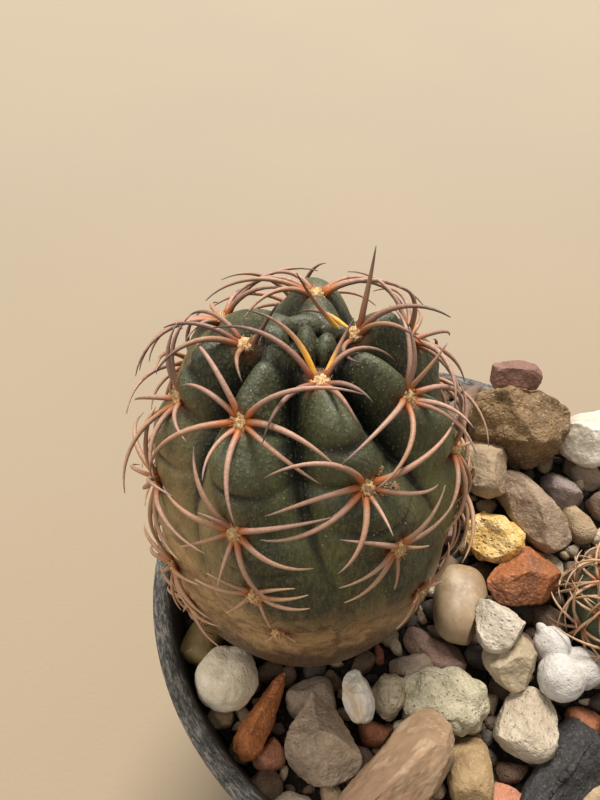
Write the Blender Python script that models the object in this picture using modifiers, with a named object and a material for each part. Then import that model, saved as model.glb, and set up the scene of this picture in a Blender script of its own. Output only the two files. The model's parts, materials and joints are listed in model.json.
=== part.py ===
"""Round ribbed cactus in a nursery pot, with a small cactus beside it and a gravel top dressing.

Metres, +Z up. The origin is the centre of the pot's underside, and the front of the pot faces -Y.
Every grown or loose piece is its own object: both cacti, each areole with its spines, each named stone,
the gravel bed that they lie on, the potting soil and the pot.
"""
import math

import bmesh
import bpy
import numpy as np
from mathutils import Matrix, Vector, noise
from mathutils.bvhtree import BVHTree

MM = 0.001

# Pot
POT_RIM_RADIUS = 45.0 * MM
POT_HEIGHT = 80.0 * MM
POT_BASE_RADIUS = 31.0 * MM
POT_WALL = 1.2 * MM
POT_FLOOR = 1.8 * MM
LIP_STEP = 1.4 * MM
LIP_DEPTH = 9.0 * MM
EDGE_SOFTENING = 0.5 * MM
DRAIN_HOLES = 6
DRAIN_RADIUS = 3.5 * MM
POT_STEPS = 40

# Filling, with heights measured down from the rim
SOIL_BELOW_RIM = 17.0 * MM
BED_BELOW_RIM = 7.6 * MM
BED_HEAP = 7.5 * MM
HEAP_BEARING = math.radians(50.0)

# Large cactus
BODY_RADIUS = 21.0 * MM
WAIST_ABOVE_RIM = 11.4 * MM
CROWN_RISE = 37.9 * MM
FOOT_DROP = 17.5 * MM
CROWN_FULLNESS = 2.775
FOOT_FULLNESS = 2.3
BODY_TO_RIM = 1.5 * MM
BODY_BEARING = math.radians(177.4)
ROOT_RADIUS = 9.0 * MM
ROOT_TIP_RADIUS = 1.6 * MM
ROOT_LENGTH = 26.0 * MM
GROOVE_DEPTH = 3.2 * MM
TUBERCLE_RISE = 1.0 * MM
CROWN_DIP = 1.8 * MM
TWIST = math.radians(0.9) / MM
COLUMNS_PER_RIB = 5
BODY_RINGS = 24

# Each rib: its bearing at the crown (0 is the front, towards +X), and its areoles' arcs down from the crown in mm
RIBS = (
    (-147.0, (16.5, 26.0, 35.0, 43.5, 51.0)),
    (-92.0, (7.0, 17.0, 28.0, 41.0, 48.0)),
    (-47.0, (12.5, 24.5, 33.5, 42.0)),
    (5.5, (6.5, 18.5, 28.0, 42.0)),
    (49.5, (13.0, 24.0, 35.5, 43.5)),
    (96.0, (5.5, 14.0, 28.0, 37.5, 46.0)),
    (164.0, (10.0, 21.5, 32.0, 41.0)),
)

# Areoles and spines
AREOLE_RADIUS = 1.15 * MM
AREOLE_HALF_HEIGHT = 0.6 * MM
SPINES_PER_AREOLE = 7
SPINE_LENGTH = 13.0 * MM
SPINE_BASE_RADIUS = 0.34 * MM
SPINE_TIP_RADIUS = 0.1 * MM
SPINE_RING_RADIUS = 0.75 * MM
SPINE_LIFT = math.radians(34.0)
SPINE_CURL = math.radians(62.0)
SPINE_SEGMENTS = 3

# Small cactus
SMALL_RADIUS = 8.5 * MM
SMALL_RISE = 9.5 * MM
SMALL_SINK = 8.0 * MM
SMALL_WAIST_ABOVE_BED = 4.5 * MM
SMALL_TO_RIM = 2.5 * MM
SMALL_BEARING = math.radians(-18.0)
SMALL_RIBS = 9
SMALL_GROOVE = 0.09
SMALL_RINGS = 10
SMALL_COLUMNS_PER_RIB = 3

# Space left between two pieces that touch
GAP = 0.3 * MM
SWEEP_STEP = math.radians(6.0)
LIFT_STEP = math.radians(9.0)

# Stones: name, spot as shares of the rim's inner radius, rise above the bed in mm, length, width and height
# in mm, turn in degrees, form and colour
STONES = (
    ("brown_boulder", (0.47, 0.52), 0.0, (16.5, 15.5, 13.0), 20, "lumpy", (0.16, 0.12, 0.08)),
    ("grey_angular_stone", (-0.43, -0.63), 0.0, (12.0, 9.0, 7.2), 100, "chip", (0.22, 0.17, 0.13)),
    ("long_tan_flint", (-0.20, -0.70), 5.0, (19.5, 8.0, 6.5), 28, "chip", (0.33, 0.22, 0.15)),
    ("granular_cream_stone", (0.01, -0.50), 0.0, (12.8, 9.0, 7.6), 0, "lumpy", (0.52, 0.48, 0.36)),
    ("translucent_oval_pebble", (0.12, -0.17), 1.0, (12.2, 8.2, 7.6), 76, "pebble", (0.55, 0.46, 0.32)),
    ("long_grey_tan_stone", (0.49, 0.26), 0.0, (15.8, 7.6, 7.4), 62, "pebble", (0.30, 0.24, 0.18)),
    ("beige_back_stone", (0.28, 0.45), 0.0, (11.6, 8.0, 7.6), 84, "pebble", (0.36, 0.30, 0.22)),
    ("white_back_stone", (0.73, 0.49), 2.0, (11.0, 10.0, 9.0), 40, "lumpy", (0.70, 0.66, 0.58)),
    ("slate_chip", (0.32, -0.69), 1.0, (15.4, 6.2, 4.6), 36, "chip", (0.07, 0.07, 0.08)),
    ("rust_chip", (0.38, -0.12), 0.5, (11.4, 8.4, 6.0), 15, "chip", (0.42, 0.15, 0.05)),
    ("perlite_grain", (0.41, -0.43), 2.0, (11.6, 7.6, 7.6), 108, "lobed", (0.86, 0.86, 0.84)),
    ("golden_nugget", (0.31, 0.07), 0.5, (9.6, 8.8, 7.0), -30, "lumpy", (0.62, 0.40, 0.12)),
    ("pale_round_stone", (-0.76, -0.43), 0.0, (9.0, 8.8, 7.6), 10, "pebble", (0.60, 0.55, 0.46)),
    ("orange_brick_chip", (-0.62, -0.55), 0.0, (11.8, 4.8, 5.0), 64, "chip", (0.50, 0.17, 0.06)),
    ("pitted_white_stone", (0.23, -0.59), 0.0, (9.4, 8.2, 7.2), 45, "lumpy", (0.66, 0.61, 0.52)),
    ("cream_pebble", (0.22, -0.42), 0.5, (7.6, 7.0, 6.2), 0, "pebble", (0.58, 0.50, 0.38)),
    ("white_knob_stone", (0.27, -0.27), 0.5, (7.4, 6.6, 6.0), 120, "lumpy", (0.68, 0.64, 0.56)),
    ("tan_oval_pebble", (0.07, -0.72), 0.0, (8.8, 5.8, 5.4), 84, "pebble", (0.42, 0.31, 0.18)),
    ("red_brown_block", (0.47, 0.74), 9.0, (8.0, 6.4, 5.8), 8, "chip", (0.20, 0.10, 0.08)),
    ("white_quartz_pebble", (-0.33, -0.49), 1.5, (7.0, 4.8, 4.8), 96, "pebble", (0.74, 0.70, 0.62)),
    ("knobby_grey_pebble", (-0.22, -0.50), 0.0, (6.6, 4.6, 4.8), 84, "lumpy", (0.44, 0.39, 0.31)),
    ("olive_pebble", (-0.87, -0.29), 0.0, (6.2, 5.4, 4.8), 70, "pebble", (0.32, 0.27, 0.12)),
)
STONE_STEP = 0.5 * MM
STONE_SHIFT_STEPS = 10
STONE_LIFT_STEPS = 80
STONE_DIRECTIONS = 16
LIFT_COST = 1.6

# Sizes and places that follow from the values above
LIP_INNER_RADIUS = POT_RIM_RADIUS - LIP_STEP - POT_WALL
WALL_SLOPE = (POT_RIM_RADIUS - LIP_STEP - POT_BASE_RADIUS) / POT_HEIGHT
BODY_CENTRE = (LIP_INNER_RADIUS - BODY_RADIUS - BODY_TO_RIM) * Vector(
    (math.cos(BODY_BEARING), math.sin(BODY_BEARING), 0.0)
)
SMALL_CENTRE = (LIP_INNER_RADIUS - SMALL_RADIUS - SMALL_TO_RIM) * Vector(
    (math.cos(SMALL_BEARING), math.sin(SMALL_BEARING), 0.0)
)
WAIST_HEIGHT = POT_HEIGHT + WAIST_ABOVE_RIM


def start_scene():
    """Empties the scene and makes one collection for the pieces and one for the cutters."""
    for item in list(bpy.data.objects):
        bpy.data.objects.remove(item, do_unlink=True)
    pieces = bpy.data.collections.new("potted_round_cactus")
    cutters = bpy.data.collections.new("cutters")
    for group in (pieces, cutters):
        bpy.context.scene.collection.children.link(group)
    return pieces, cutters


PIECES, CUTTERS = start_scene()


def finish_of(name, colour, roughness, metallic=0.0):
    """A plain Principled material."""
    finish = bpy.data.materials.new(name)
    finish.use_nodes = True
    shader = finish.node_tree.nodes["Principled BSDF"]
    shader.inputs["Base Color"].default_value = (*colour, 1.0)
    shader.inputs["Roughness"].default_value = roughness
    shader.inputs["Metallic"].default_value = metallic
    return finish


def add_piece(name, data, colour, roughness):
    """Puts a mesh into the model as a named piece with its own material."""
    piece = bpy.data.objects.new(name, data)
    data.materials.append(finish_of(name + "_finish", colour, roughness))
    PIECES.objects.link(piece)
    return piece


def add_cutter(name, data):
    """Puts a mesh or curve among the hidden cutters."""
    cutter = bpy.data.objects.new(name, data)
    cutter.hide_render = True
    cutter.display_type = "WIRE"
    CUTTERS.objects.link(cutter)
    return cutter


def mesh_from(form, name):
    """Turns a bmesh into a smooth-shaded mesh."""
    data = bpy.data.meshes.new(name)
    form.to_mesh(data)
    form.free()
    data.shade_smooth()
    return data


def evaluated_mesh(item):
    """The mesh of an object with its modifiers worked in."""
    scene_graph = bpy.context.evaluated_depsgraph_get()
    return bpy.data.meshes.new_from_object(item.evaluated_get(scene_graph))


def keep_evaluated(item):
    """Works an object's modifiers into its mesh."""
    data = evaluated_mesh(item)
    item.modifiers.clear()
    item.data = data


def surface_of(item):
    """A searchable copy of an object's surface in world space."""
    bpy.context.view_layer.update()
    data = evaluated_mesh(item)
    corners = [item.matrix_world @ corner.co for corner in data.vertices]
    faces = [tuple(face.vertices) for face in data.polygons]
    bpy.data.meshes.remove(data)
    return BVHTree.FromPolygons(corners, faces)


def add_screw(item, steps):
    """Turns an object's profile round the Z axis."""
    screw = item.modifiers.new("Turn", "SCREW")
    screw.steps = steps
    screw.render_steps = steps
    screw.use_merge_vertices = True
    screw.merge_threshold = 0.00001
    screw.use_smooth_shade = True


def profile_mesh(name, points):
    """A turned piece's profile, as radius and height, from the axis outwards and down."""
    data = bpy.data.meshes.new(name)
    corners = [(radius, 0.0, height) for radius, height in points]
    data.from_pydata(corners, [(n, n + 1) for n in range(len(corners) - 1)], [])
    return data


def join_with(item, other, operation):
    """Adds an exact Boolean to an object."""
    join = item.modifiers.new(operation.title(), "BOOLEAN")
    join.operation = operation
    join.solver = "EXACT"
    join.object = other


def wall_inside(height):
    """Inner radius of the pot's wall at a height."""
    return POT_BASE_RADIUS - POT_WALL + WALL_SLOPE * height


def bed_level(x, y):
    """Height of the gravel bed, which is heaped towards one side."""
    along = (x * math.cos(HEAP_BEARING) + y * math.sin(HEAP_BEARING)) / LIP_INNER_RADIUS
    share = min(max(along + 0.2, 0.0), 1.0)
    return POT_HEIGHT - BED_BELOW_RIM + BED_HEAP * share * share * (3.0 - 2.0 * share)


def make_pot():
    """Thin tapered pot with a lip round its mouth and drainage holes round a solid centre."""
    wall_top = POT_RIM_RADIUS - LIP_STEP
    lip_under = POT_HEIGHT - LIP_DEPTH
    under_lip = POT_BASE_RADIUS + WALL_SLOPE * lip_under
    soft = EDGE_SOFTENING
    points = [
        (0.0, POT_FLOOR),
        (wall_inside(POT_FLOOR), POT_FLOOR),
        (wall_top - POT_WALL, POT_HEIGHT - soft),
        (wall_top - POT_WALL + soft, POT_HEIGHT),
        (POT_RIM_RADIUS - soft, POT_HEIGHT),
        (POT_RIM_RADIUS, POT_HEIGHT - soft),
        (POT_RIM_RADIUS - soft, lip_under),
        (under_lip, lip_under),
        (POT_BASE_RADIUS + WALL_SLOPE * 2.0 * soft, 2.0 * soft),
        (POT_BASE_RADIUS - 2.0 * soft, 0.0),
        (0.0, 0.0),
    ]
    pot = add_piece("pot", profile_mesh("pot", points), (0.035, 0.037, 0.042), 0.6)
    add_screw(pot, POT_STEPS)
    form = bmesh.new()
    for hole in range(DRAIN_HOLES):
        turn = Matrix.Rotation(2.0 * math.pi * hole / DRAIN_HOLES, 4, "Z")
        out = Matrix.Translation((POT_BASE_RADIUS * 0.6, 0.0, POT_FLOOR / 2.0))
        bmesh.ops.create_cone(
            form,
            cap_ends=True,
            segments=12,
            radius1=DRAIN_RADIUS,
            radius2=DRAIN_RADIUS,
            depth=POT_FLOOR * 3.0,
            matrix=turn @ out,
        )
    holes = add_cutter("drain_holes", mesh_from(form, "drain_holes"))
    join_with(pot, holes, "DIFFERENCE")
    return pot


def make_soil(socket):
    """Potting soil that fills the pot up to the gravel, with a socket for the root."""
    top = POT_HEIGHT - SOIL_BELOW_RIM
    bottom = POT_FLOOR + GAP
    points = [
        (0.0, top),
        (wall_inside(top) - GAP, top),
        (wall_inside(bottom) - GAP, bottom),
        (0.0, bottom),
    ]
    soil = add_piece("potting_soil", profile_mesh("potting_soil", points), (0.05, 0.033, 0.022), 0.95)
    add_screw(soil, POT_STEPS)
    join_with(soil, socket, "DIFFERENCE")
    return soil


def make_bed(sockets):
    """Layer of fine gravel over the soil, level at the front and heaped at the back."""
    bottom = POT_HEIGHT - SOIL_BELOW_RIM + GAP
    rings = 4
    points = [(LIP_INNER_RADIUS * ring / rings, POT_HEIGHT) for ring in range(rings + 1)]
    points += [(wall_inside(bottom) - GAP, bottom), (0.0, bottom)]
    bed = add_piece("gravel_bed", profile_mesh("gravel_bed", points), (0.23, 0.19, 0.15), 0.9)
    add_screw(bed, POT_STEPS)
    keep_evaluated(bed)
    for corner in bed.data.vertices:
        if corner.co.z > POT_HEIGHT - GAP:
            corner.co.z = bed_level(corner.co.x, corner.co.y)
            reach = corner.co.xy.length
            if reach > LIP_INNER_RADIUS - GAP:
                corner.co.xy *= (wall_inside(corner.co.z) - GAP) / reach
    for socket in sockets:
        join_with(bed, socket, "DIFFERENCE")
    return bed


def meridian():
    """Arc, radius and height down the large cactus's outline, from the crown to the root's tip."""
    angles = np.linspace(0.0, math.pi, 721)
    upper = angles <= math.pi / 2.0
    power = np.where(upper, 2.0 / CROWN_FULLNESS, 2.0 / FOOT_FULLNESS)
    half = np.where(upper, CROWN_RISE, FOOT_DROP)
    radius = BODY_RADIUS * np.abs(np.sin(angles)) ** power
    height = WAIST_HEIGHT + half * np.sign(np.cos(angles)) * np.abs(np.cos(angles)) ** power
    grown = upper | (radius > ROOT_RADIUS)
    radius = np.append(radius[grown], [ROOT_TIP_RADIUS, 0.0])
    foot = height[grown]
    height = np.append(foot, [foot[-1] - ROOT_LENGTH, foot[-1] - ROOT_LENGTH])
    arc = np.append(0.0, np.cumsum(np.hypot(np.diff(radius), np.diff(height))))
    return arc, radius, height


ARCS, RADII, HEIGHTS = meridian()


def outline(arc):
    """Radius and height of the smooth outline at an arc down from the crown."""
    return float(np.interp(arc, ARCS, RADII)), float(np.interp(arc, ARCS, HEIGHTS))


def rib_bearing(turn, arc):
    """Bearing at a count of ribs round the body; whole counts are crests, and halves are grooves."""
    count = len(RIBS)
    rib = int(math.floor(turn)) % count
    along = turn - math.floor(turn)
    here = RIBS[rib][0]
    there = RIBS[(rib + 1) % count][0]
    if there < here:
        there += 360.0
    return math.radians(here + (there - here) * along) + TWIST * arc


def relief(turn, arc):
    """How far the ribbed skin stands out from the smooth outline."""
    across = math.sin(math.pi * (turn - math.floor(turn))) ** 2
    crown_share = min(arc / (9.0 * MM), 1.0)
    foot_share = min(max(1.0 - (arc - 18.0 * MM) / (40.0 * MM), 0.0), 1.0)
    groove = GROOVE_DEPTH * crown_share * foot_share**1.5 * across
    dip = CROWN_DIP * math.exp(-((arc / (4.0 * MM)) ** 2))
    rise = 0.0
    for rib, (_, arcs) in enumerate(RIBS):
        sideways = (turn - rib + len(RIBS) / 2.0) % len(RIBS) - len(RIBS) / 2.0
        if abs(sideways) < 1.0:
            for place in arcs:
                down = (arc / MM - place) / 4.5
                rise += TUBERCLE_RISE * math.exp(-(down**2) - (sideways * 2.6) ** 2)
    return rise * crown_share - groove - dip


def skin_point(turn, arc, swell=0.0):
    """A point of the large cactus's skin, moved out by swell."""
    radius, height = outline(arc)
    ahead_radius, ahead_height = outline(arc + 0.4 * MM)
    behind_radius, behind_height = outline(max(arc - 0.4 * MM, 0.0))
    along = Vector((ahead_radius - behind_radius, ahead_height - behind_height)).normalized()
    out = relief(turn, arc) + swell
    radius = max(radius - along.y * out, 0.0)
    height += along.x * out
    bearing = rib_bearing(turn, arc)
    return BODY_CENTRE + Vector((radius * math.sin(bearing), -radius * math.cos(bearing), height))


def skin_frame(turn, arc):
    """Point, outward direction, downward direction and sideways direction on the skin."""
    small_turn = 0.05
    small_arc = 0.8 * MM
    down = skin_point(turn, arc + small_arc) - skin_point(turn, arc - small_arc)
    side = skin_point(turn + small_turn, arc) - skin_point(turn - small_turn, arc)
    out = side.cross(down).normalized()
    down.normalize()
    return skin_point(turn, arc), -out, down, down.cross(-out).normalized()


def body_mesh(name, swell=0.0):
    """Ribbed body and taproot, shaped from a sphere whose columns follow the twisted ribs."""
    columns = COLUMNS_PER_RIB * len(RIBS)
    form = bmesh.new()
    bmesh.ops.create_uvsphere(form, u_segments=columns, v_segments=BODY_RINGS, radius=1.0)
    for corner in form.verts:
        level = min(max(corner.co.z, -1.0), 1.0)
        arc = ARCS[-1] * math.acos(level) / math.pi
        flat = corner.co.xy.length
        if flat < 0.0001:
            pole_height = HEIGHTS[0] - CROWN_DIP + swell if level > 0.0 else HEIGHTS[-1] - swell
            corner.co = BODY_CENTRE + Vector((0.0, 0.0, pole_height))
            continue
        turn = math.atan2(corner.co.y, corner.co.x) / (2.0 * math.pi) % 1.0
        column = round(turn * columns) / COLUMNS_PER_RIB
        corner.co = skin_point(column, arc, swell)
    return mesh_from(form, name)


def small_body_mesh(name, swell=0.0):
    """Squat ribbed body of the small cactus."""
    waist = bed_level(SMALL_CENTRE.x, SMALL_CENTRE.y) + SMALL_WAIST_ABOVE_BED
    form = bmesh.new()
    bmesh.ops.create_uvsphere(form, u_segments=SMALL_RIBS * SMALL_COLUMNS_PER_RIB, v_segments=SMALL_RINGS, radius=1.0)
    for corner in form.verts:
        bearing = math.atan2(corner.co.y, corner.co.x)
        across = math.cos(SMALL_RIBS * bearing) - 1.0
        flat = corner.co.xy.length
        radius = (SMALL_RADIUS + swell) * (1.0 + SMALL_GROOVE * flat * across / 2.0)
        tall = SMALL_RISE if corner.co.z > 0.0 else SMALL_SINK
        corner.co.xy *= radius
        corner.co.z = corner.co.z * (tall + swell) + waist
        corner.co += SMALL_CENTRE
    return mesh_from(form, name)


def rounded_form(seed, roughness):
    """A pebble: a sphere pushed in and out by smooth noise."""
    form = bmesh.new()
    bmesh.ops.create_icosphere(form, subdivisions=2, radius=1.0)
    for corner in form.verts:
        drift = noise.noise(corner.co * 1.3 + Vector((7.0 * seed, 0.0, 0.0)))
        corner.co *= 1.0 + roughness * drift
    return form


def lobed_form():
    """A grain of two rounded lobes."""
    form = bmesh.new()
    bmesh.ops.create_icosphere(form, subdivisions=2, radius=1.0)
    for corner in form.verts:
        waist = 0.72 + 0.28 * min(abs(corner.co.x) * 1.6, 1.0)
        corner.co.y *= waist
        corner.co.z *= waist
    return form


def chip_form(seed):
    """An angular chip: the hull of a few points near the faces of a block."""
    pick = np.random.default_rng(seed)
    form = bmesh.new()
    for x_side in (-1.0, 1.0):
        for y_side in (-1.0, 1.0):
            for z_side in (-1.0, 1.0):
                cut = pick.uniform(0.35, 0.8, 3)
                form.verts.new((x_side, y_side * cut[0], z_side * cut[1]))
                form.verts.new((x_side * cut[2], y_side, z_side * cut[0]))
                form.verts.new((x_side * cut[1], y_side * cut[2], z_side))
    bmesh.ops.convex_hull(form, input=form.verts)
    loose = [corner for corner in form.verts if not corner.link_faces]
    bmesh.ops.delete(form, geom=loose, context="VERTS")
    bmesh.ops.recalc_face_normals(form, faces=form.faces)
    return form


def stone_mesh(name, size, kind, seed):
    """A stone of an exact length, width and height, centred on its own origin."""
    if kind == "chip":
        form = chip_form(seed)
    elif kind == "lobed":
        form = lobed_form()
    else:
        form = rounded_form(seed, 0.35 if kind == "lumpy" else 0.16)
    for axis in range(3):
        low = min(corner.co[axis] for corner in form.verts)
        high = max(corner.co[axis] for corner in form.verts)
        for corner in form.verts:
            corner.co[axis] = ((corner.co[axis] - low) / (high - low) - 0.5) * size[axis] * MM
    data = mesh_from(form, name)
    if kind == "chip":
        data.set_sharp_from_angle(angle=math.radians(25.0))
    return data


def stone_trials():
    """Shifts and lifts to try for a stone, from the least moved to the most."""
    trials = []
    for lift_number in range(STONE_LIFT_STEPS):
        for ring in range(STONE_SHIFT_STEPS + 1):
            for way in range(STONE_DIRECTIONS if ring else 1):
                angle = 2.0 * math.pi * way / STONE_DIRECTIONS
                shift = STONE_STEP * ring
                lift = STONE_STEP * lift_number
                trials.append((shift + LIFT_COST * lift, lift, shift, angle))
    return sorted(trials)


def stone_is_clear(corners, faces, centre, surfaces):
    """Whether a stone at a place cuts no surface and lies inside no solid."""
    here = BVHTree.FromPolygons(corners, faces)
    for surface in surfaces:
        if here.overlap(surface):
            return False
        spot, out, _, distance = surface.find_nearest(centre)
        if distance < 25.0 * MM and (centre - spot).dot(out) < 0.0:
            return False
    return True


def place_stone(stone, spot, rise, turn, surfaces, trials):
    """Lays a stone at the first free place near its spot, on the bed or on its neighbours."""
    size = stone.dimensions.copy()
    swollen = Matrix.Diagonal([(side + 2.0 * GAP) / side for side in size])
    spin = Matrix.Rotation(math.radians(turn), 3, "Z")
    shape = [spin @ (swollen @ corner.co) for corner in stone.data.vertices]
    faces = [tuple(face.vertices) for face in stone.data.polygons]
    for _, lift, shift, angle in trials:
        x = spot.x + shift * math.cos(angle)
        y = spot.y + shift * math.sin(angle)
        rest = bed_level(x, y) + size.z / 2.0 + 2.0 * GAP
        centre = Vector((x, y, rest + rise + lift))
        if stone_is_clear([corner + centre for corner in shape], faces, centre, surfaces):
            stone.location = centre
            stone.rotation_euler.z = math.radians(turn)
            return


def make_stones(surfaces):
    """Lays the named stones one after another, largest first."""
    trials = stone_trials()
    for number, (name, spot, rise, size, turn, kind, colour) in enumerate(STONES):
        stone = add_piece(name, stone_mesh(name, size, kind, number + 1), colour, 0.8)
        bpy.context.view_layer.update()
        place = Vector((spot[0], spot[1])) * LIP_INNER_RADIUS
        place_stone(stone, place, rise * MM, turn, surfaces, trials)
        surfaces.append(surface_of(stone))


def gap_between(start, end, others):
    """Least distance from one straight piece to each of many others, given as start and end rows."""
    starts, ends = others
    run = end - start
    runs = ends - starts
    offset = start - starts
    a = run @ run
    e = np.einsum("ij,ij->i", runs, runs)
    b = runs @ run
    c = offset @ run
    f = np.einsum("ij,ij->i", runs, offset)
    spread = np.maximum(a * e - b * b, 1e-18)
    s = np.clip((b * f - c * e) / spread, 0.0, 1.0)
    t = np.clip((b * s + f) / e, 0.0, 1.0)
    s = np.clip((b * t - c) / a, 0.0, 1.0)
    between = (start + np.outer(s, run)) - (starts + runs * t[:, None])
    return np.linalg.norm(between, axis=1)


def spine_path(root, out, way, lift, length):
    """Points of a spine that leaves the areole, rises and curls back towards the skin."""
    points = [root]
    step = length / SPINE_SEGMENTS
    for number in range(SPINE_SEGMENTS):
        slope = lift - SPINE_CURL * (number + 0.3) / (SPINE_SEGMENTS - 1)
        points.append(points[-1] + (way * math.cos(slope) + out * math.sin(slope)) * step)
    return points


def spine_radius(number):
    """Radius of a spine at one of its points, from the areole to the tip."""
    share = number / SPINE_SEGMENTS
    return SPINE_BASE_RADIUS + (SPINE_TIP_RADIUS - SPINE_BASE_RADIUS) * share


def path_is_clear(points, surfaces, grown):
    """Whether a spine keeps its gap to all surfaces and to every spine grown before it."""
    for number in range(SPINE_SEGMENTS):
        start = points[number]
        end = points[number + 1]
        thick = spine_radius(number)
        for share in (0.2, 0.4, 0.6, 0.8, 1.0):
            spot = start.lerp(end, share)
            for surface in surfaces:
                if surface.find_nearest(spot, thick + 1.3 * GAP)[0] is not None:
                    return False
        if grown:
            starts = np.array([row[0] for row in grown])
            ends = np.array([row[1] for row in grown])
            thicks = np.array([row[2] for row in grown])
            free = gap_between(np.array(start), np.array(end), (starts, ends)) - thicks - thick
            if free.min() < 1.3 * GAP:
                return False
    return True


def spine_trials():
    """Turns, lifts and lengths to try for a spine, from the least changed to the most."""
    trials = []
    for share in (1.0, 0.88, 0.76, 0.64, 0.52, 0.4, 0.28, 0.16):
        for sweep in range(-3, 4):
            for raise_by in range(-1, 5):
                cost = abs(sweep) + abs(raise_by) + 14.0 * (1.0 - share)
                trials.append((cost, share, sweep * SWEEP_STEP, raise_by * LIFT_STEP))
    return sorted(trials)


def areole_mesh(name, out):
    """The cushion that the spines grow from, flat against the skin."""
    form = bmesh.new()
    bmesh.ops.create_icosphere(form, subdivisions=1, radius=1.0)
    tilt = out.to_track_quat("Z", "Y").to_matrix()
    for corner in form.verts:
        flat = Vector((corner.co.x * AREOLE_RADIUS, corner.co.y * AREOLE_RADIUS, 0.0))
        corner.co = tilt @ (flat + Vector((0.0, 0.0, corner.co.z * AREOLE_HALF_HEIGHT)))
    return mesh_from(form, name)


def spines_cutter(name, paths, centre):
    """One mesh of an areole's spines, from a curve with a tapered bevel."""
    curve = bpy.data.curves.new(name, "CURVE")
    curve.dimensions = "3D"
    curve.bevel_depth = SPINE_BASE_RADIUS
    curve.bevel_resolution = 0
    curve.use_fill_caps = True
    for points in paths:
        spline = curve.splines.new("POLY")
        spline.points.add(len(points) - 1)
        for number, place in enumerate(points):
            spline.points[number].co = (*(place - centre), 1.0)
            spline.points[number].radius = spine_radius(number) / SPINE_BASE_RADIUS
    tubes = add_cutter(name, curve)
    tubes.location = centre
    bpy.context.view_layer.update()
    data = evaluated_mesh(tubes)
    form = bmesh.new()
    form.from_mesh(data)
    bmesh.ops.remove_doubles(form, verts=form.verts, dist=0.001 * MM)
    bmesh.ops.recalc_face_normals(form, faces=form.faces)
    form.to_mesh(data)
    form.free()
    joined = add_cutter(name + "_mesh", data)
    joined.location = centre
    bpy.data.objects.remove(tubes)
    return joined


def make_spines(surfaces):
    """Grows each areole with its own ring of spines, every spine along the first free path."""
    trials = spine_trials()
    places = []
    grown = []
    for rib, (_, arcs) in enumerate(RIBS):
        for number, place in enumerate(arcs):
            spot, out, down, side = skin_frame(float(rib), place * MM)
            centre = spot + out * (AREOLE_HALF_HEIGHT + 1.5 * GAP)
            places.append((rib, number, centre, out, down, side))
            cushion = AREOLE_RADIUS * 0.5
            grown.append((centre - side * cushion, centre + side * cushion, AREOLE_RADIUS * 0.7))
    for areole, (rib, number, centre, out, down, side) in enumerate(places):
        others = grown[:areole] + grown[areole + 1 :]
        paths = []
        for spine in range(SPINES_PER_AREOLE):
            angle = 2.0 * math.pi * (spine + 0.5) / SPINES_PER_AREOLE
            for _, share, sweep, raise_by in trials:
                way = down * math.cos(angle + sweep) + side * math.sin(angle + sweep)
                root_way = down * math.cos(angle) + side * math.sin(angle)
                root = centre + root_way * SPINE_RING_RADIUS
                lift = SPINE_LIFT + raise_by
                points = spine_path(root, out, way, lift, SPINE_LENGTH * share)
                if path_is_clear(points, surfaces, others):
                    break
            paths.append(points)
            own = [(points[n], points[n + 1], spine_radius(n)) for n in range(SPINE_SEGMENTS)]
            grown += own
            others += own[1:]
        name = f"spines_rib{rib + 1}_{number + 1}"
        cushion_piece = add_piece(name, areole_mesh(name, out), (0.45, 0.30, 0.20), 0.7)
        cushion_piece.location = centre
        join_with(cushion_piece, spines_cutter(name + "_tubes", paths, centre), "UNION")


def build():
    """Builds every piece, from the pot inwards and upwards."""
    socket = add_cutter("root_socket", body_mesh("root_socket", GAP))
    small_socket = add_cutter("small_socket", small_body_mesh("small_socket", GAP))
    pot = make_pot()
    make_soil(socket)
    bed = make_bed((socket, small_socket))
    body = add_piece("round_cactus", body_mesh("round_cactus"), (0.075, 0.095, 0.05), 0.6)
    small = add_piece("small_cactus", small_body_mesh("small_cactus"), (0.06, 0.085, 0.04), 0.6)
    surfaces = [surface_of(item) for item in (pot, bed, body, small)]
    make_stones(surfaces)
    make_spines(surfaces)


build()
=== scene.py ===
"""Round cactus in a weathered nursery pot, dressed for its portrait: skin, spines, wool, stones and pot."""
import json
import math
import random

import bpy
import numpy as np
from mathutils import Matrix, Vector
from mathutils.bvhtree import BVHTree

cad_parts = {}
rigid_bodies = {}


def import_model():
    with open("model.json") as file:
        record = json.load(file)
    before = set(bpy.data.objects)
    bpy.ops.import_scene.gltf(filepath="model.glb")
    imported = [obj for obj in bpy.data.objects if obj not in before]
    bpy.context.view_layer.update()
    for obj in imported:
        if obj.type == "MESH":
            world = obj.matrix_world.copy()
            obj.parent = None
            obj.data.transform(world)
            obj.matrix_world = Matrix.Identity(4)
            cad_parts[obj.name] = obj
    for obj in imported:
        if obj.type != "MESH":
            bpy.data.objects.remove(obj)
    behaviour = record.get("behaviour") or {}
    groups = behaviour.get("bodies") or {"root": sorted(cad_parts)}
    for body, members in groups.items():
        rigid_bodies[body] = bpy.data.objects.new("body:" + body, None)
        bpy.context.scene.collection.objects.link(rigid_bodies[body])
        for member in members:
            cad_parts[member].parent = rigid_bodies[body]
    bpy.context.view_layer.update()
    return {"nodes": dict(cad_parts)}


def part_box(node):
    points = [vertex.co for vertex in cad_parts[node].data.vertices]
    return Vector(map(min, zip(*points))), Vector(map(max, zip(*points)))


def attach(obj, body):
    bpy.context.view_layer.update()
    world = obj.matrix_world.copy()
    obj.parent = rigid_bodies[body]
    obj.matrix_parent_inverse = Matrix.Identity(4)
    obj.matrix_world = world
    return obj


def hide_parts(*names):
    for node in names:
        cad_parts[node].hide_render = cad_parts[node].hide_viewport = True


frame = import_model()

NODES = frame["nodes"]
MM = 0.001
FULL_TURN = 2.0 * math.pi
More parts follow.
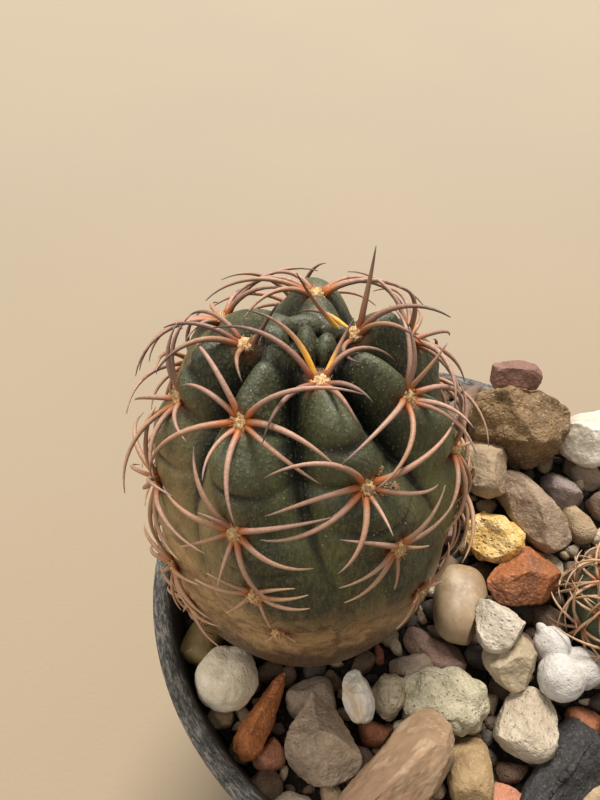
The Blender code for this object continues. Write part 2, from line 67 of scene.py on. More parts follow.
RIM_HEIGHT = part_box("pot")[1].z
RIM_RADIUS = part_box("pot")[1].x
RIM_TOP = RIM_HEIGHT / MM

# The large cactus: the same outline and ribs that the frame has. Sizes are in mm, and heights count from the rim.
# A rib is its bearing in degrees and its areoles' arcs down from the crown.
BODY_CENTRE = Vector((-19.88 * MM, 0.9 * MM, 0.0))
BODY_RADIUS = 21.0
WAIST = 11.4
CROWN_RISE = 37.9
FOOT_DROP = 17.5
CROWN_FULLNESS = 2.775
FOOT_FULLNESS = 2.3
NECK_RADIUS = 9.0
NECK_END = -12.0
TWIST = 0.9    # degrees of bearing for each mm of arc
RIBS = (
    (-147.0, (16.5, 26.0, 35.0, 43.5, 51.0)),
    (-92.0, (7.0, 17.0, 28.0, 41.0, 48.0)),
    (-47.0, (12.5, 24.5, 33.5, 42.0)),
    (5.5, (6.5, 18.5, 28.0, 42.0)),
    (49.5, (13.0, 24.0, 35.5, 43.5)),
    (96.0, (5.5, 14.0, 28.0, 37.5, 46.0)),
    (164.0, (10.0, 21.5, 32.0, 41.0)),
)

# The pot, in mm
FOOT_RADIUS = 31.0
WALL_THICKNESS = 1.2
LIP_OVERHANG = 1.4
WALL_SLOPE = (RIM_RADIUS / MM - LIP_OVERHANG - FOOT_RADIUS) / RIM_TOP
MOUTH_RADIUS = 42.2

# The gravel bed slopes up along one bearing, from its low side to its high side; heights count from the rim, in mm
BED_BEARING = math.radians(50.0)
BED_REACH = 42.4
BED_LOW = -7.6
BED_RISE = 7.5

# The camera's place in mm, from the pot's axis and over its rim, its tilt in degrees and its lens in mm
CAMERA_PLACE = (-20.7, -47.25, 92.7)
CAMERA_TILT = 41.7
CAMERA_LENS = 27.0

# Each light's name, place and side in m, power in W and colour
LIGHTS = (
    ("window", (0.35, 1.6, 2.9), 1.2, 182.0, (1.0, 0.95, 0.88)),
    ("fill", (-2.2, -0.45, 2.2), 1.7, 34.0, (1.0, 0.93, 0.84)),
)
SKY_COLOUR = (1.0, 0.93, 0.84, 1.0)
SKY_STRENGTH = 0.52
FLOOR_SIDE = 6.0

# Colours of the skin, from the crown to the foot
DEEP_GREEN, DULL_GREEN = (0.012, 0.015, 0.007), (0.056, 0.062, 0.026)
LIT_GREEN, GREEN_SHADOW = (0.098, 0.096, 0.038), (0.012, 0.018, 0.010)
OLIVE, FADED_OLIVE = (0.185, 0.200, 0.050), (0.175, 0.185, 0.060)
# The next colour tans the upper left side of the body
UPPER_LEFT_TAN = (0.275, 0.195, 0.080)
CORK, PALE_CORK = (0.24, 0.138, 0.056), (0.46, 0.295, 0.138)
# The middle colour on the next line is painted shade for the foot, under the body's bulge
CORK_BLOTCH, FOOT_SHADE, CORK_SEAM = (0.10, 0.042, 0.020), (0.060, 0.030, 0.015), (0.045, 0.022, 0.012)
# The next colour is painted shade for the grooves, furrows, notches and gaps between tubercles
GROOVE_SHADE = (0.006, 0.008, 0.005)
SKIN_BLOOM, PAPILLAE = (0.115, 0.128, 0.082), (0.27, 0.27, 0.17)
SKIN_DUST, SKIN_GRIT = (0.46, 0.42, 0.29), (0.50, 0.47, 0.36)
AREOLE_STAIN = (0.17, 0.062, 0.020)

# Colours of the spines, the pot, the dust on the stones and the card underneath
HONEY_HORN, LOW_HORN = (0.40, 0.205, 0.095), (0.47, 0.270, 0.130)
WOOL_CREAM, WOOL_ORANGE, WOOL_BROWN = (0.70, 0.51, 0.27), (0.46, 0.20, 0.055), (0.24, 0.075, 0.024)
CHARCOAL, GREY_PLASTIC = (0.026, 0.028, 0.030), (0.066, 0.068, 0.071)
MINERAL_BLOOM, CHALK = (0.37, 0.34, 0.295), (0.42, 0.40, 0.36)
# The next two colours are painted shade inside the pot's wall, mottled
INNER_WALL_SHADE, INNER_SHADE_MOTTLE = (0.009, 0.007, 0.006), (0.045, 0.032, 0.022)
STONE_DUST = (0.62, 0.56, 0.46)
# The card's front and back colours grade it paler towards the back: painted light
CARD_FRONT_SHADED, CARD_BACK_LIT = (0.29, 0.23, 0.158), (0.30, 0.255, 0.197)
CARD_CLOUD, CARD_TOOTH, CARD_BLOTS = (0.34, 0.28, 0.205), (0.29, 0.225, 0.155), (0.30, 0.24, 0.165)


# ---------------------------------------------------------------- camera, light and floor

def set_camera():
    """A phone held close above the front left of the pot."""
    x, y, z = (part * MM for part in CAMERA_PLACE)
    bpy.ops.object.camera_add(location=(x, y, RIM_HEIGHT + z), rotation=(math.radians(CAMERA_TILT), 0.0, 0.0))
    camera = bpy.context.object
    camera.data.sensor_width = 36.0
    camera.data.lens = CAMERA_LENS
    camera.data.clip_start = 0.005
    camera.data.clip_end = 20.0
    bpy.context.scene.camera = camera


def set_light():
    """Bright even sky, a broad window behind the plant and a weak fill from the left, both aimed at the rim."""
    world = bpy.data.worlds.new("sky")
    bpy.context.scene.world = world
    world.use_nodes = True
    sky = world.node_tree.nodes["Background"]
    sky.inputs["Color"].default_value = SKY_COLOUR
    sky.inputs["Strength"].default_value = SKY_STRENGTH
    for name, place, side, power, colour in LIGHTS:
        turn = (Vector((0.0, 0.0, RIM_HEIGHT)) - Vector(place)).to_track_quat("-Z", "Y").to_euler()
        bpy.ops.object.light_add(type="AREA", location=place, rotation=turn)
        light = bpy.context.object
        light.name = name
        light.data.size = side
        light.data.energy = power
        light.data.color = colour
    bpy.context.scene.view_settings.view_transform = "Standard"


# ---------------------------------------------------------------- shop tools

def let_go():
    """Nothing selected, and object mode."""
    if bpy.context.mode != "OBJECT":
        bpy.ops.object.mode_set(mode="OBJECT")
    bpy.ops.object.select_all(action="DESELECT")


def pick_only(piece):
    """Only this piece selected and active."""
    let_go()
    piece.select_set(True)
    bpy.context.view_layer.objects.active = piece


def settle(piece, name, finish, replaces=(), angle=None):
    """Puts a finished piece's place into its mesh, and hands it to the frame."""
    pick_only(piece)
    bpy.ops.object.transform_apply(location=True, rotation=True, scale=True)
    piece.name = name
    piece.data.name = name
    piece.data.materials.clear()
    piece.data.materials.append(finish)
    if angle is None:
        bpy.ops.object.shade_smooth()
    else:
        bpy.ops.object.shade_smooth_by_angle(angle=math.radians(angle))
    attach(piece, "root")
    if replaces:
        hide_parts(*replaces)
    return piece


def apply_modifier(piece, kind, **settings):
    """Adds a modifier, sets it and works it into the mesh."""
    pick_only(piece)
    modifier = piece.modifiers.new(kind.title(), kind)
    for key, value in settings.items():
        setattr(modifier, key, value)
    bpy.ops.object.modifier_apply(modifier=modifier.name)


def smooth_levels(piece, levels, simple=False):
    """Subdivides a piece, rounded or keeping its corners."""
    kind = "SIMPLE" if simple else "CATMULL_CLARK"
    apply_modifier(piece, "SUBSURF", levels=levels, render_levels=levels, subdivision_type=kind)


TEXTURES = {}


def lump_texture(kind, size, depth=2):
    """A soft or cellular pattern for pushing a surface in and out, with lumps of a size in mm."""
    key = (kind, size, depth)
    if key not in TEXTURES:
        texture = bpy.data.textures.new(f"lumps_{len(TEXTURES)}", kind)
        texture.noise_scale = size * MM
        if kind == "CLOUDS":
            texture.noise_depth = depth
        TEXTURES[key] = texture
    return TEXTURES[key]


def roughen(piece, kind, size, push, depth=2, middle=0.5):
    """Pushes a surface in and out by a pattern; size and push are in mm."""
    texture = lump_texture(kind, size, depth)
    apply_modifier(
        piece, "DISPLACE", texture=texture, strength=push * MM, mid_level=middle, texture_coords="LOCAL"
    )


def corners_of(piece):
    """The mesh's corners as rows of numbers, in metres."""
    flat = np.empty(len(piece.data.vertices) * 3, np.float32)
    piece.data.vertices.foreach_get("co", flat)
    return flat.reshape(-1, 3).astype(float)


def faces_of(piece):
    """The mesh's faces as tuples of corner numbers."""
    return [tuple(face.vertices) for face in piece.data.polygons]


def move_corners(piece, rows):
    """Puts the mesh's corners at new places."""
    piece.data.vertices.foreach_set("co", np.asarray(rows, np.float32).ravel())
    piece.data.update()


def mark_points(piece, **marks):
    """Writes named attributes on the mesh's points, each from one number or a row of them."""
    count = len(piece.data.vertices)
    for label, values in marks.items():
        mark = piece.data.attributes.new(label, "FLOAT", "POINT")
        mark.data.foreach_set("value", np.full(count, values, np.float32))


def join_all(pieces):
    """Joins several pieces into the first."""
    let_go()
    for piece in pieces:
        piece.select_set(True)
    bpy.context.view_layer.objects.active = pieces[0]
    bpy.ops.object.join()
    return pieces[0]


def link_piece(name, data):
    """An object with this mesh or curve, put in the scene."""
    piece = bpy.data.objects.new(name, data)
    bpy.context.scene.collection.objects.link(piece)
    return piece


def new_piece(name, rows, edges, faces):
    """A piece from its corners in metres, and its edges or faces."""
    data = bpy.data.meshes.new(name)
    data.from_pydata(rows, edges, faces)
    return link_piece(name, data)


def edit_all(piece, *steps):
    """Runs edit-mode steps, each on the whole of a piece; a step is its operator and settings."""
    pick_only(piece)
    bpy.ops.object.mode_set(mode="EDIT")
    for operator, settings in steps:
        bpy.ops.mesh.select_all(action="SELECT")
        operator(**settings)
    bpy.ops.object.mode_set(mode="OBJECT")


def add_ball(subdivisions):
    """A ball of triangles, one unit in radius."""
    let_go()
    bpy.ops.mesh.primitive_ico_sphere_add(subdivisions=subdivisions, radius=1.0)
    return bpy.context.object


def ball_shape(subdivisions):
    """Only the corners and faces of such a ball."""
    ball = add_ball(subdivisions)
    shape = corners_of(ball), faces_of(ball)
    bpy.data.objects.remove(ball)
    return shape


class Heap:
    """Many small solids gathered into one piece."""

    def __init__(self):
        self.rows = []
        self.faces = []
        self.count = 0

    def drop(self, rows, faces):
        self.rows.append(rows)
        self.faces += [tuple(corner + self.count for corner in face) for face in faces]
        self.count += len(rows)

    def make_piece(self, name):
        return new_piece(name, np.concatenate(self.rows).tolist(), [], self.faces)


def surface_tree(piece):
    """A searchable copy of a piece's surface."""
    rows = corners_of(piece)
    return BVHTree.FromPolygons([tuple(row) for row in rows], faces_of(piece))


# ---------------------------------------------------------------- finishes

class Signal:
    """A value in a node tree; arithmetic with it adds the nodes that work the result out."""

    def __init__(self, bench, socket):
        self.bench = bench
        self.socket = socket

    def __add__(self, other):
        return self.bench.maths("ADD", self, other)

    def __radd__(self, other):
        return self.bench.maths("ADD", other, self)

    def __sub__(self, other):
        return self.bench.maths("SUBTRACT", self, other)

    def __rsub__(self, other):
        return self.bench.maths("SUBTRACT", other, self)

    def __mul__(self, other):
        return self.bench.maths("MULTIPLY", self, other)

    def __abs__(self):
        return self.bench.maths("ABSOLUTE", self)

    def spread(self, low, high, to_low=0.0, to_high=1.0, smooth=True):
        """Maps low..high to to_low..to_high, and holds it there past either end."""
        kind = "SMOOTHSTEP" if smooth else "LINEAR"
        inputs = dict(enumerate((self, low, high, to_low, to_high)))
        return self.bench.result("ShaderNodeMapRange", 0, inputs, interpolation_type=kind)


class Bench:
    """One node tree, with short ways to add and wire its nodes."""

    def __init__(self, tree):
        self.tree = tree

    def add(self, kind, **settings):
        node = self.tree.nodes.new(kind)
        for key, value in settings.items():
            setattr(node, key, value)
        return node

    def wire(self, source, target):
        """Feeds a signal, a socket, a colour or a plain value into a socket."""
        if isinstance(source, Signal):
            source = source.socket
        if hasattr(source, "is_output"):
            self.tree.links.new(source, target)
        elif isinstance(source, (tuple, list)) and len(source) == 3 and target.type == "RGBA":
            target.default_value = (*source, 1.0)
        else:
            target.default_value = source

    def result(self, kind, output, inputs, **settings):
        """Adds a node, feeds its inputs and gives one of its outputs."""
        node = self.add(kind, **settings)
        for key, value in inputs.items():
            self.wire(value, node.inputs[key])
        return Signal(self, node.outputs[output])

    def maths(self, operation, first, second=0.0):
        return self.result("ShaderNodeMath", 0, {0: first, 1: second}, operation=operation)

    def mix(self, share, first, second, blend="MIX"):
        inputs = {0: share, 6: first, 7: second}    # a mixer's colours are its seventh and eighth inputs
        return self.result("ShaderNodeMix", 2, inputs, data_type="RGBA", blend_type=blend)

    def noise(self, vector, scale, detail=3.0, roughness=0.55, warp=0.0):
        inputs = {"Vector": vector, "Scale": scale, "Detail": detail, "Roughness": roughness, "Distortion": warp}
        return self.result("ShaderNodeTexNoise", "Fac", inputs)

    def cells(self, vector, scale):
        return self.result("ShaderNodeTexVoronoi", "Distance", {"Vector": vector, "Scale": scale})

    def place(self):
        """Object coordinates in millimetres."""
        return self.stretch(self.add("ShaderNodeTexCoord").outputs["Object"], (1000.0, 1000.0, 1000.0))

    def stretch(self, vector, scale):
        return self.result("ShaderNodeMapping", "Vector", {"Vector": vector, "Scale": scale})

    def parts(self, vector):
        node = self.add("ShaderNodeSeparateXYZ")
        self.wire(vector, node.inputs[0])
        return [Signal(self, socket) for socket in node.outputs]

    def bundle(self, *values):
        return self.result("ShaderNodeCombineXYZ", 0, dict(enumerate(values)))

    def own(self, name):
        return self.result("ShaderNodeAttribute", "Fac", {}, attribute_name=name)


def new_finish(name):
    """A material with its bench and its Principled shader."""
    finish = bpy.data.materials.new(name)
    finish.use_nodes = True
    return finish, Bench(finish.node_tree), finish.node_tree.nodes["Principled BSDF"]


def lay_on(bench, shader, colour, rough, height, depth):
    """Feeds a finish's colour, roughness and relief, depth mm deep, into its shader."""
    bench.wire(colour, shader.inputs["Base Color"])
    bench.wire(rough, shader.inputs["Roughness"])
    relief = bench.result("ShaderNodeBump", "Normal", {"Height": height, "Strength": 1.0, "Distance": depth * MM})
    bench.wire(relief, shader.inputs["Normal"])


def dimmed(colour, share):
    """A share of a colour's brightness."""
    return tuple(share * part for part in colour)


def make_effect(name, inputs, outputs, build):
    """A shared effect as a node group; inputs hold (name, kind, starting value)."""
    tree = bpy.data.node_groups.new(name, "ShaderNodeTree")
    for label, kind, start in inputs:
        slot = tree.interface.new_socket(label, in_out="INPUT", socket_type=kind)
        if start is not None:
            slot.default_value = start
    for label, kind in outputs:
        tree.interface.new_socket(label, in_out="OUTPUT", socket_type=kind)
    bench = Bench(tree)
    entry = bench.add("NodeGroupInput")
    result = bench.add("NodeGroupOutput")
    given = {label: Signal(bench, entry.outputs[label]) for label, _, _ in inputs}
    for label, source in build(bench, given).items():
        bench.wire(source, result.inputs[label])
    return tree


def use_effect(bench, tree, **values):
    """Places an effect in a material with its own values; underscores in names stand for spaces."""
    node = bench.add("ShaderNodeGroup", node_tree=tree)
    for label, value in values.items():
        bench.wire(value, node.inputs[label.replace("_", " ")])
    return {socket.name: Signal(bench, socket) for socket in node.outputs}


NUMBER, PLACE, COLOUR = "NodeSocketFloat", "NodeSocketVector", "NodeSocketColor"


def rock_effect(bench, given):
    """Mottled rock with stains, dark or pale grains and pits."""
    where, patch, grain_scale = given["Place"], given["Patch Scale"], given["Grain Scale"]
    broad = bench.noise(where, patch, 4.0, 0.6, 0.4)
    fine = bench.noise(where, patch * 5.0, 4.0, 0.65)
    grains = bench.noise(where, grain_scale, 2.0, 0.7)
    pits = bench.cells(where, grain_scale * 0.55)
    stain = (broad + fine * 0.35).spread(0.55, 0.85) * given["Stain"]
    colour = bench.mix(stain, given["Base"], given["Second"])
    colour = bench.mix(grains.spread(0.52, 0.68) * given["Grain"], colour, given["Grain Colour"])
    shade = fine.spread(0.3, 0.7, 0.82, 1.16, smooth=False)
    tone = bench.result("ShaderNodeCombineColor", 0, dict.fromkeys(range(3), shade))
    colour = bench.mix(1.0, colour, tone, "MULTIPLY")
    pit_share = (1.0 - pits.spread(0.05, 0.32)) * given["Pits"]
    colour = bench.mix(pit_share * 0.65, colour, given["Grain Colour"])
    return {"Color": colour, "Height": fine * 0.6 + grains * 0.4 - pit_share}


ROCK = make_effect(
    "rock surface",
    [
        ("Place", PLACE, None),
        ("Base", COLOUR, (0.5, 0.5, 0.5, 1.0)),
        ("Second", COLOUR, (0.3, 0.3, 0.3, 1.0)),
        ("Grain Colour", COLOUR, (0.1, 0.1, 0.1, 1.0)),
        ("Patch Scale", NUMBER, 0.3),
        ("Grain Scale", NUMBER, 3.0),
        ("Stain", NUMBER, 0.7),
        ("Grain", NUMBER, 0.3),
        ("Pits", NUMBER, 0.3),
    ],
    [("Color", COLOUR), ("Height", NUMBER)],
    rock_effect,
)


def dust_effect(bench, given):
    """Scattered pale specks."""
    dots = bench.cells(given["Place"], given["Scale"])
    clusters = bench.noise(given["Place"], given["Scale"] * 0.22, 2.0)
    return {"Mask": bench.maths("LESS_THAN", dots, given["Size"] * clusters.spread(0.35, 0.75))}


DUST = make_effect(
    "dust specks",
    [("Place", PLACE, None), ("Scale", NUMBER, 2.0), ("Size", NUMBER, 0.12)],
    [("Mask", NUMBER)],
    dust_effect,
)


def rock_finish(name, base, second, grain, patch=0.22, grains=3.0, stain=0.8, grain_share=0.3, pits=0.25,
                bump=0.25, rough=0.75, seed=0.0, clear=0.0, lay=(0.0, 1.0)):
    """A stone's own finish; lay turns its markings and draws them out along the stone."""
    finish, bench, shader = new_finish(name)
    turn, drawn = lay
    where = bench.add("ShaderNodeMapping", vector_type="TEXTURE")
    bench.wire(bench.place(), where.inputs["Vector"])
    where.inputs["Rotation"].default_value = (0.0, 0.0, math.radians(turn))
    where.inputs["Scale"].default_value = (drawn, 1.0, 1.0)
    where.inputs["Location"].default_value = (seed * 3.1, seed * 7.7, seed * 1.3)
    spot = where.outputs["Vector"]
    rock = use_effect(
        bench, ROCK, Place=spot, Base=base, Second=second, Grain_Colour=grain, Patch_Scale=patch,
        Grain_Scale=grains, Stain=stain, Grain=grain_share, Pits=pits,
    )
    dust = use_effect(bench, DUST, Place=spot, Scale=1.6, Size=0.10)
    colour = bench.mix(dust["Mask"] * 0.5, rock["Color"], STONE_DUST)
    height = rock["Height"]
    lay_on(bench, shader, colour, height.spread(0.2, 0.8, rough + 0.12, rough - 0.12), height, bump)
    if clear:
        shader.inputs["Subsurface Weight"].default_value = clear
        shader.inputs["Subsurface Radius"].default_value = (0.0035, 0.0028, 0.0018)
    return finish


def skin_finish():
    """Dull green skin, dusty on its crown, olive in streaks, tan on its upper left and corky tan towards the foot,
    with painted shade in its grooves and at its foot.
    """
    finish, bench, shader = new_finish("cactus_skin")
    where = bench.place()
    x, _, z = bench.parts(where)
    drawn = bench.stretch(where, (1.0, 1.0, 0.16))
    broad = bench.noise(bench.stretch(where, (1.0, 1.0, 0.5)), 0.085, 4.0, 0.6, 0.6)
    streaks = bench.noise(drawn, 0.8, 5.0, 0.7)
    fine = bench.noise(drawn, 4.4, 3.0, 0.6)
    combed = bench.noise(bench.stretch(where, (1.0, 1.0, 0.22)), 2.6, 4.0, 0.75, 0.3)
    worn = bench.noise(bench.stretch(where, (1.0, 1.0, 1.3)), 0.34, 5.0, 0.65, 0.7)
    blotches = bench.noise(where, 0.28, 4.0, 0.6, 0.8)
    specks = bench.cells(bench.stretch(where, (1.0, 1.0, 0.7)), 2.4)

    green = bench.mix(broad.spread(0.38, 0.64), DEEP_GREEN, DULL_GREEN)
    green = bench.mix(combed.spread(0.42, 0.68, 0.0, 0.75), green, LIT_GREEN)
    green = bench.mix(combed.spread(0.46, 0.28, 0.0, 0.7), green, GREEN_SHADOW)
    olive = streaks.spread(0.45, 0.75) * z.spread(126.0, 112.0, 0.15, 1.0) * broad.spread(0.36, 0.6, 0.15, 0.85)
    green = bench.mix(olive, green, OLIVE)
    green = bench.mix(bench.own("faded") * combed.spread(0.25, 0.6, 0.35, 0.95), green, FADED_OLIVE)
    # Tan on the upper left side of the body
    upper_left_tan = x.spread(-24.0, -33.0) * z.spread(128.0, 114.0) * streaks.spread(0.3, 0.6, 0.35, 1.0)
    green = bench.mix(upper_left_tan, green, UPPER_LEFT_TAN)

    age = z + (x + 15.0) * 0.28 + (broad - 0.5) * -20.0 + (worn - 0.5) * 9.0
    cork = bench.mix(worn.spread(0.34, 0.66), CORK, PALE_CORK)
    cork = bench.mix(blotches.spread(0.5, 0.68, 0.0, 0.75), cork, CORK_BLOTCH)
    # Painted shade darkens the foot, under the body's bulge, with a streaky edge
    cork = bench.mix((z + streaks * 5.0 + worn * 8.0).spread(104.0, 96.0, 0.0, 0.9), cork, FOOT_SHADE)
    seam = abs(age - (101.0 + fine * 0.8))
    cork = bench.mix(seam.spread(0.35, 0.05, 0.0, 0.8), cork, CORK_SEAM)
    colour = bench.mix(age.spread(108.0, 97.0) * 0.92, green, cork)

    # Painted shade in the grooves, furrows, notches and gaps, stronger higher up the body
    painted_groove_shade = bench.own("groove").spread(0.10, 0.8, 0.0, 0.95) * z.spread(99.0, 119.0, 0.3, 1.0)
    colour = bench.mix(painted_groove_shade, colour, GROOVE_SHADE)
    top = bench.own("bloom")
    colour = bench.mix(top * fine.spread(0.35, 0.75, 0.2, 0.85), colour, SKIN_BLOOM)
    papillae = specks.spread(0.06, 0.26, 0.75, 0.0) * broad.spread(0.3, 0.6, 0.45, 1.0)
    colour = bench.mix(papillae, colour, PAPILLAE)
    dust = use_effect(bench, DUST, Place=where, Scale=1.15, Size=0.13)["Mask"]
    colour = bench.mix(dust * 0.8, colour, SKIN_DUST)
    grit = use_effect(bench, DUST, Place=where, Scale=2.3, Size=0.15)["Mask"]
    colour = bench.mix(grit * top.spread(0.15, 0.9, 0.1, 0.85), colour, SKIN_GRIT)
    colour = bench.mix(bench.own("stain") * fine.spread(0.3, 0.6, 0.5, 0.95), colour, AREOLE_STAIN)
    height = fine * 0.5 + streaks * 0.7 - specks * 0.7
    lay_on(bench, shader, colour, fine.spread(0.2, 0.8, 0.42, 0.66), height, 0.10)
    shader.inputs["Specular IOR Level"].default_value = 0.45
    return finish


def spine_finish(name, base, shaft, tip, tip_start=0.72, low_tip=None, golden=None):
    """Horny spine: stained at its base, paler and greyer on top as a painted highlight, darker and browner beneath as
    painted shade, greyed at its tip.
    """
    finish, bench, shader = new_finish(name)
    along, tone, where = bench.own("along"), bench.own("tone"), bench.place()
    streaks = bench.noise(where, 2.2, 4.0, 0.65)
    fine = bench.noise(where, 9.0, 2.0, 0.6)
    painted_light_facing = bench.parts(bench.add("ShaderNodeNewGeometry").outputs["Normal"])
    # Painted light: sides facing up keep the shaft colour, a touch paler, as a highlight; sides facing down darken to
    # painted shade
    middle = bench.mix(painted_light_facing[2].spread(-0.35, 0.8), dimmed(shaft, 0.42), tuple(0.98 * part + 0.012 for part in shaft))
    middle = bench.mix(streaks.spread(0.35, 0.7, 0.0, 0.5), middle, dimmed(shaft, 0.55))
    middle = bench.mix(tone.spread(0.25, 1.0, 0.0, 0.65), middle, HONEY_HORN)
    if low_tip:
        lower = bench.parts(where)[2].spread(122.0, 106.0)
        middle = bench.mix(lower * 0.45, middle, LOW_HORN)
        tip = bench.mix(lower, tip, low_tip)
    colour = bench.mix(along.spread(0.26, 0.03), middle, base)
    if golden:
        colour = bench.mix(along.spread(0.5, 0.2) * tone.spread(0.9, 0.96), colour, golden)
    colour = bench.mix(along.spread(tip_start, 1.0, 0.0, 0.85), colour, tip)
    lay_on(bench, shader, colour, fine.spread(0.3, 0.7, 0.38, 0.60), streaks + fine * 0.4, 0.07)
    return finish


def wool_finish():
    """Cream areole wool, stained orange and brown low down."""
    finish, bench, shader = new_finish("areole_wool")
    tufts = bench.noise(bench.place(), 2.6, 4.0, 0.7, 0.6)
    colour = bench.mix(tufts.spread(0.42, 0.66), WOOL_CREAM, WOOL_ORANGE)
    colour = bench.mix(bench.own("along").spread(0.75, 0.2), colour, WOOL_BROWN)
    lay_on(bench, shader, colour, 0.9, tufts, 0.3)
    return finish


def pot_finish():
    """Charcoal plastic, weathered grey with pale mineral streaks towards the rim, and painted shade inside the wall.
    """
    finish, bench, shader = new_finish("weathered_plastic")
    where = bench.place()
    x, y, z = bench.parts(where)
    reach = bench.result("ShaderNodeVectorMath", "Value", {0: bench.bundle(x, y)}, operation="LENGTH")
    wall = bench.bundle(bench.maths("ARCTAN2", y, x) * 44.0, z, reach)
    streaks = bench.noise(bench.stretch(wall, (0.5, 1.2, 2.2)), 1.3, 7.0, 0.8, 0.5)
    patches = bench.noise(where, 0.22, 5.0, 0.65, 0.8)
    fine = bench.noise(where, 5.5, 4.0, 0.7)
    rim = z.spread(RIM_TOP - 8.0, RIM_TOP - 0.6)
    colour = bench.mix(patches.spread(0.35, 0.7), CHARCOAL, GREY_PLASTIC)
    bloom = streaks.spread(0.45, 0.60) * patches.spread(0.34, 0.58, 0.3, 1.0) * rim.spread(0.0, 1.0, 0.2, 0.9)
    colour = bench.mix(bloom, colour, MINERAL_BLOOM)
    colour = bench.mix(fine.spread(0.56, 0.72) * rim.spread(0.3, 1.0, 0.1, 0.6), colour, CHALK)
    # Painted shade darkens the inner wall from just below the rim down, mottled
    inside = (reach - z * WALL_SLOPE).spread(FOOT_RADIUS - 0.25, FOOT_RADIUS - 0.65)
    painted_inner_shade = inside * z.spread(RIM_TOP - 0.3, RIM_TOP - 2.2, 0.0, 0.94)
    colour = bench.mix(painted_inner_shade, colour, bench.mix(fine.spread(0.4, 0.7), INNER_WALL_SHADE, INNER_SHADE_MOTTLE))
    lay_on(bench, shader, colour, fine.spread(0.3, 0.7, 0.48, 0.78), streaks * 0.7 + fine * 0.3, 0.5)
    return finish


def soil_finish(name, dark, light, scale):
    """Crumbly dark grit."""
    finish, bench, shader = new_finish(name)
    where = bench.place()
    lumps = bench.cells(where, scale)
    fine = bench.noise(where, scale * 4.0, 4.0, 0.7)
    colour = bench.mix(fine.spread(0.35, 0.7), dark, light)
    colour = bench.mix(lumps.spread(0.1, 0.55), colour, dimmed(dark, 0.4))
    lay_on(bench, shader, colour, 0.92, fine * 0.5 - lumps, 0.8)
    return finish


def floor_finish():
    """Plain pale card with a faint tooth, and painted light that makes it a little paler towards the back."""
    finish, bench, shader = new_finish("pale_card")
    where = bench.place()
    tooth = bench.noise(where, 0.9, 3.0, 0.6)
    cloud = bench.noise(where, 0.006, 2.0, 0.5)
    blots = bench.noise(where, 0.16, 5.0, 0.7)
    # Painted light: darker at the front, paler towards the back
    colour = bench.mix(bench.parts(where)[1].spread(-40.0, 330.0), CARD_FRONT_SHADED, CARD_BACK_LIT)
    colour = bench.mix(cloud.spread(0.3, 0.7, 0.0, 0.3), colour, CARD_CLOUD)
    colour = bench.mix(tooth.spread(0.35, 0.65, 0.0, 0.14), colour, CARD_TOOTH)
    colour = bench.mix(blots.spread(0.35, 0.65, 0.0, 0.16), colour, CARD_BLOTS)
    lay_on(bench, shader, colour, 0.9, tooth, 0.1)
    return finish


# ---------------------------------------------------------------- the ribbed skin

def outline_table():
    """Arc, radius and height of the smooth outline in mm, heights counted from the rim."""
    angles = np.linspace(0.0, math.pi, 1441)
    upper = angles <= math.pi / 2.0
    power = np.where(upper, 2.0 / CROWN_FULLNESS, 2.0 / FOOT_FULLNESS)
    half = np.where(upper, CROWN_RISE, FOOT_DROP)
    radius = BODY_RADIUS * np.abs(np.sin(angles)) ** power
    height = WAIST + half * np.sign(np.cos(angles)) * np.abs(np.cos(angles)) ** power
    grown = upper | (radius > NECK_RADIUS)
    radius = np.append(radius[grown], [NECK_RADIUS * 0.9, 0.0])
    height = np.append(height[grown], [NECK_END, NECK_END - 1.0])
    arc = np.append(0.0, np.cumsum(np.hypot(np.diff(radius), np.diff(height))))
    return arc, radius, height


ARCS, RADII, HEIGHTS = outline_table()
CRESTS = np.array([row[0] for row in RIBS] + [RIBS[0][0] + 360.0])
COUNT = len(RIBS)


def rib_bearing(turn, arc):
    """Bearing in degrees at a count of ribs round the body; whole counts are crests."""
    return np.interp(np.mod(turn, COUNT), np.arange(COUNT + 1), CRESTS) + TWIST * arc


# How far each rib's first tubercle swells, in mm; those at the back lie flatter
FIRST_SWELLS = (-0.9, 1.0, 1.4, 0.9, 1.4, 0.8, -0.4)


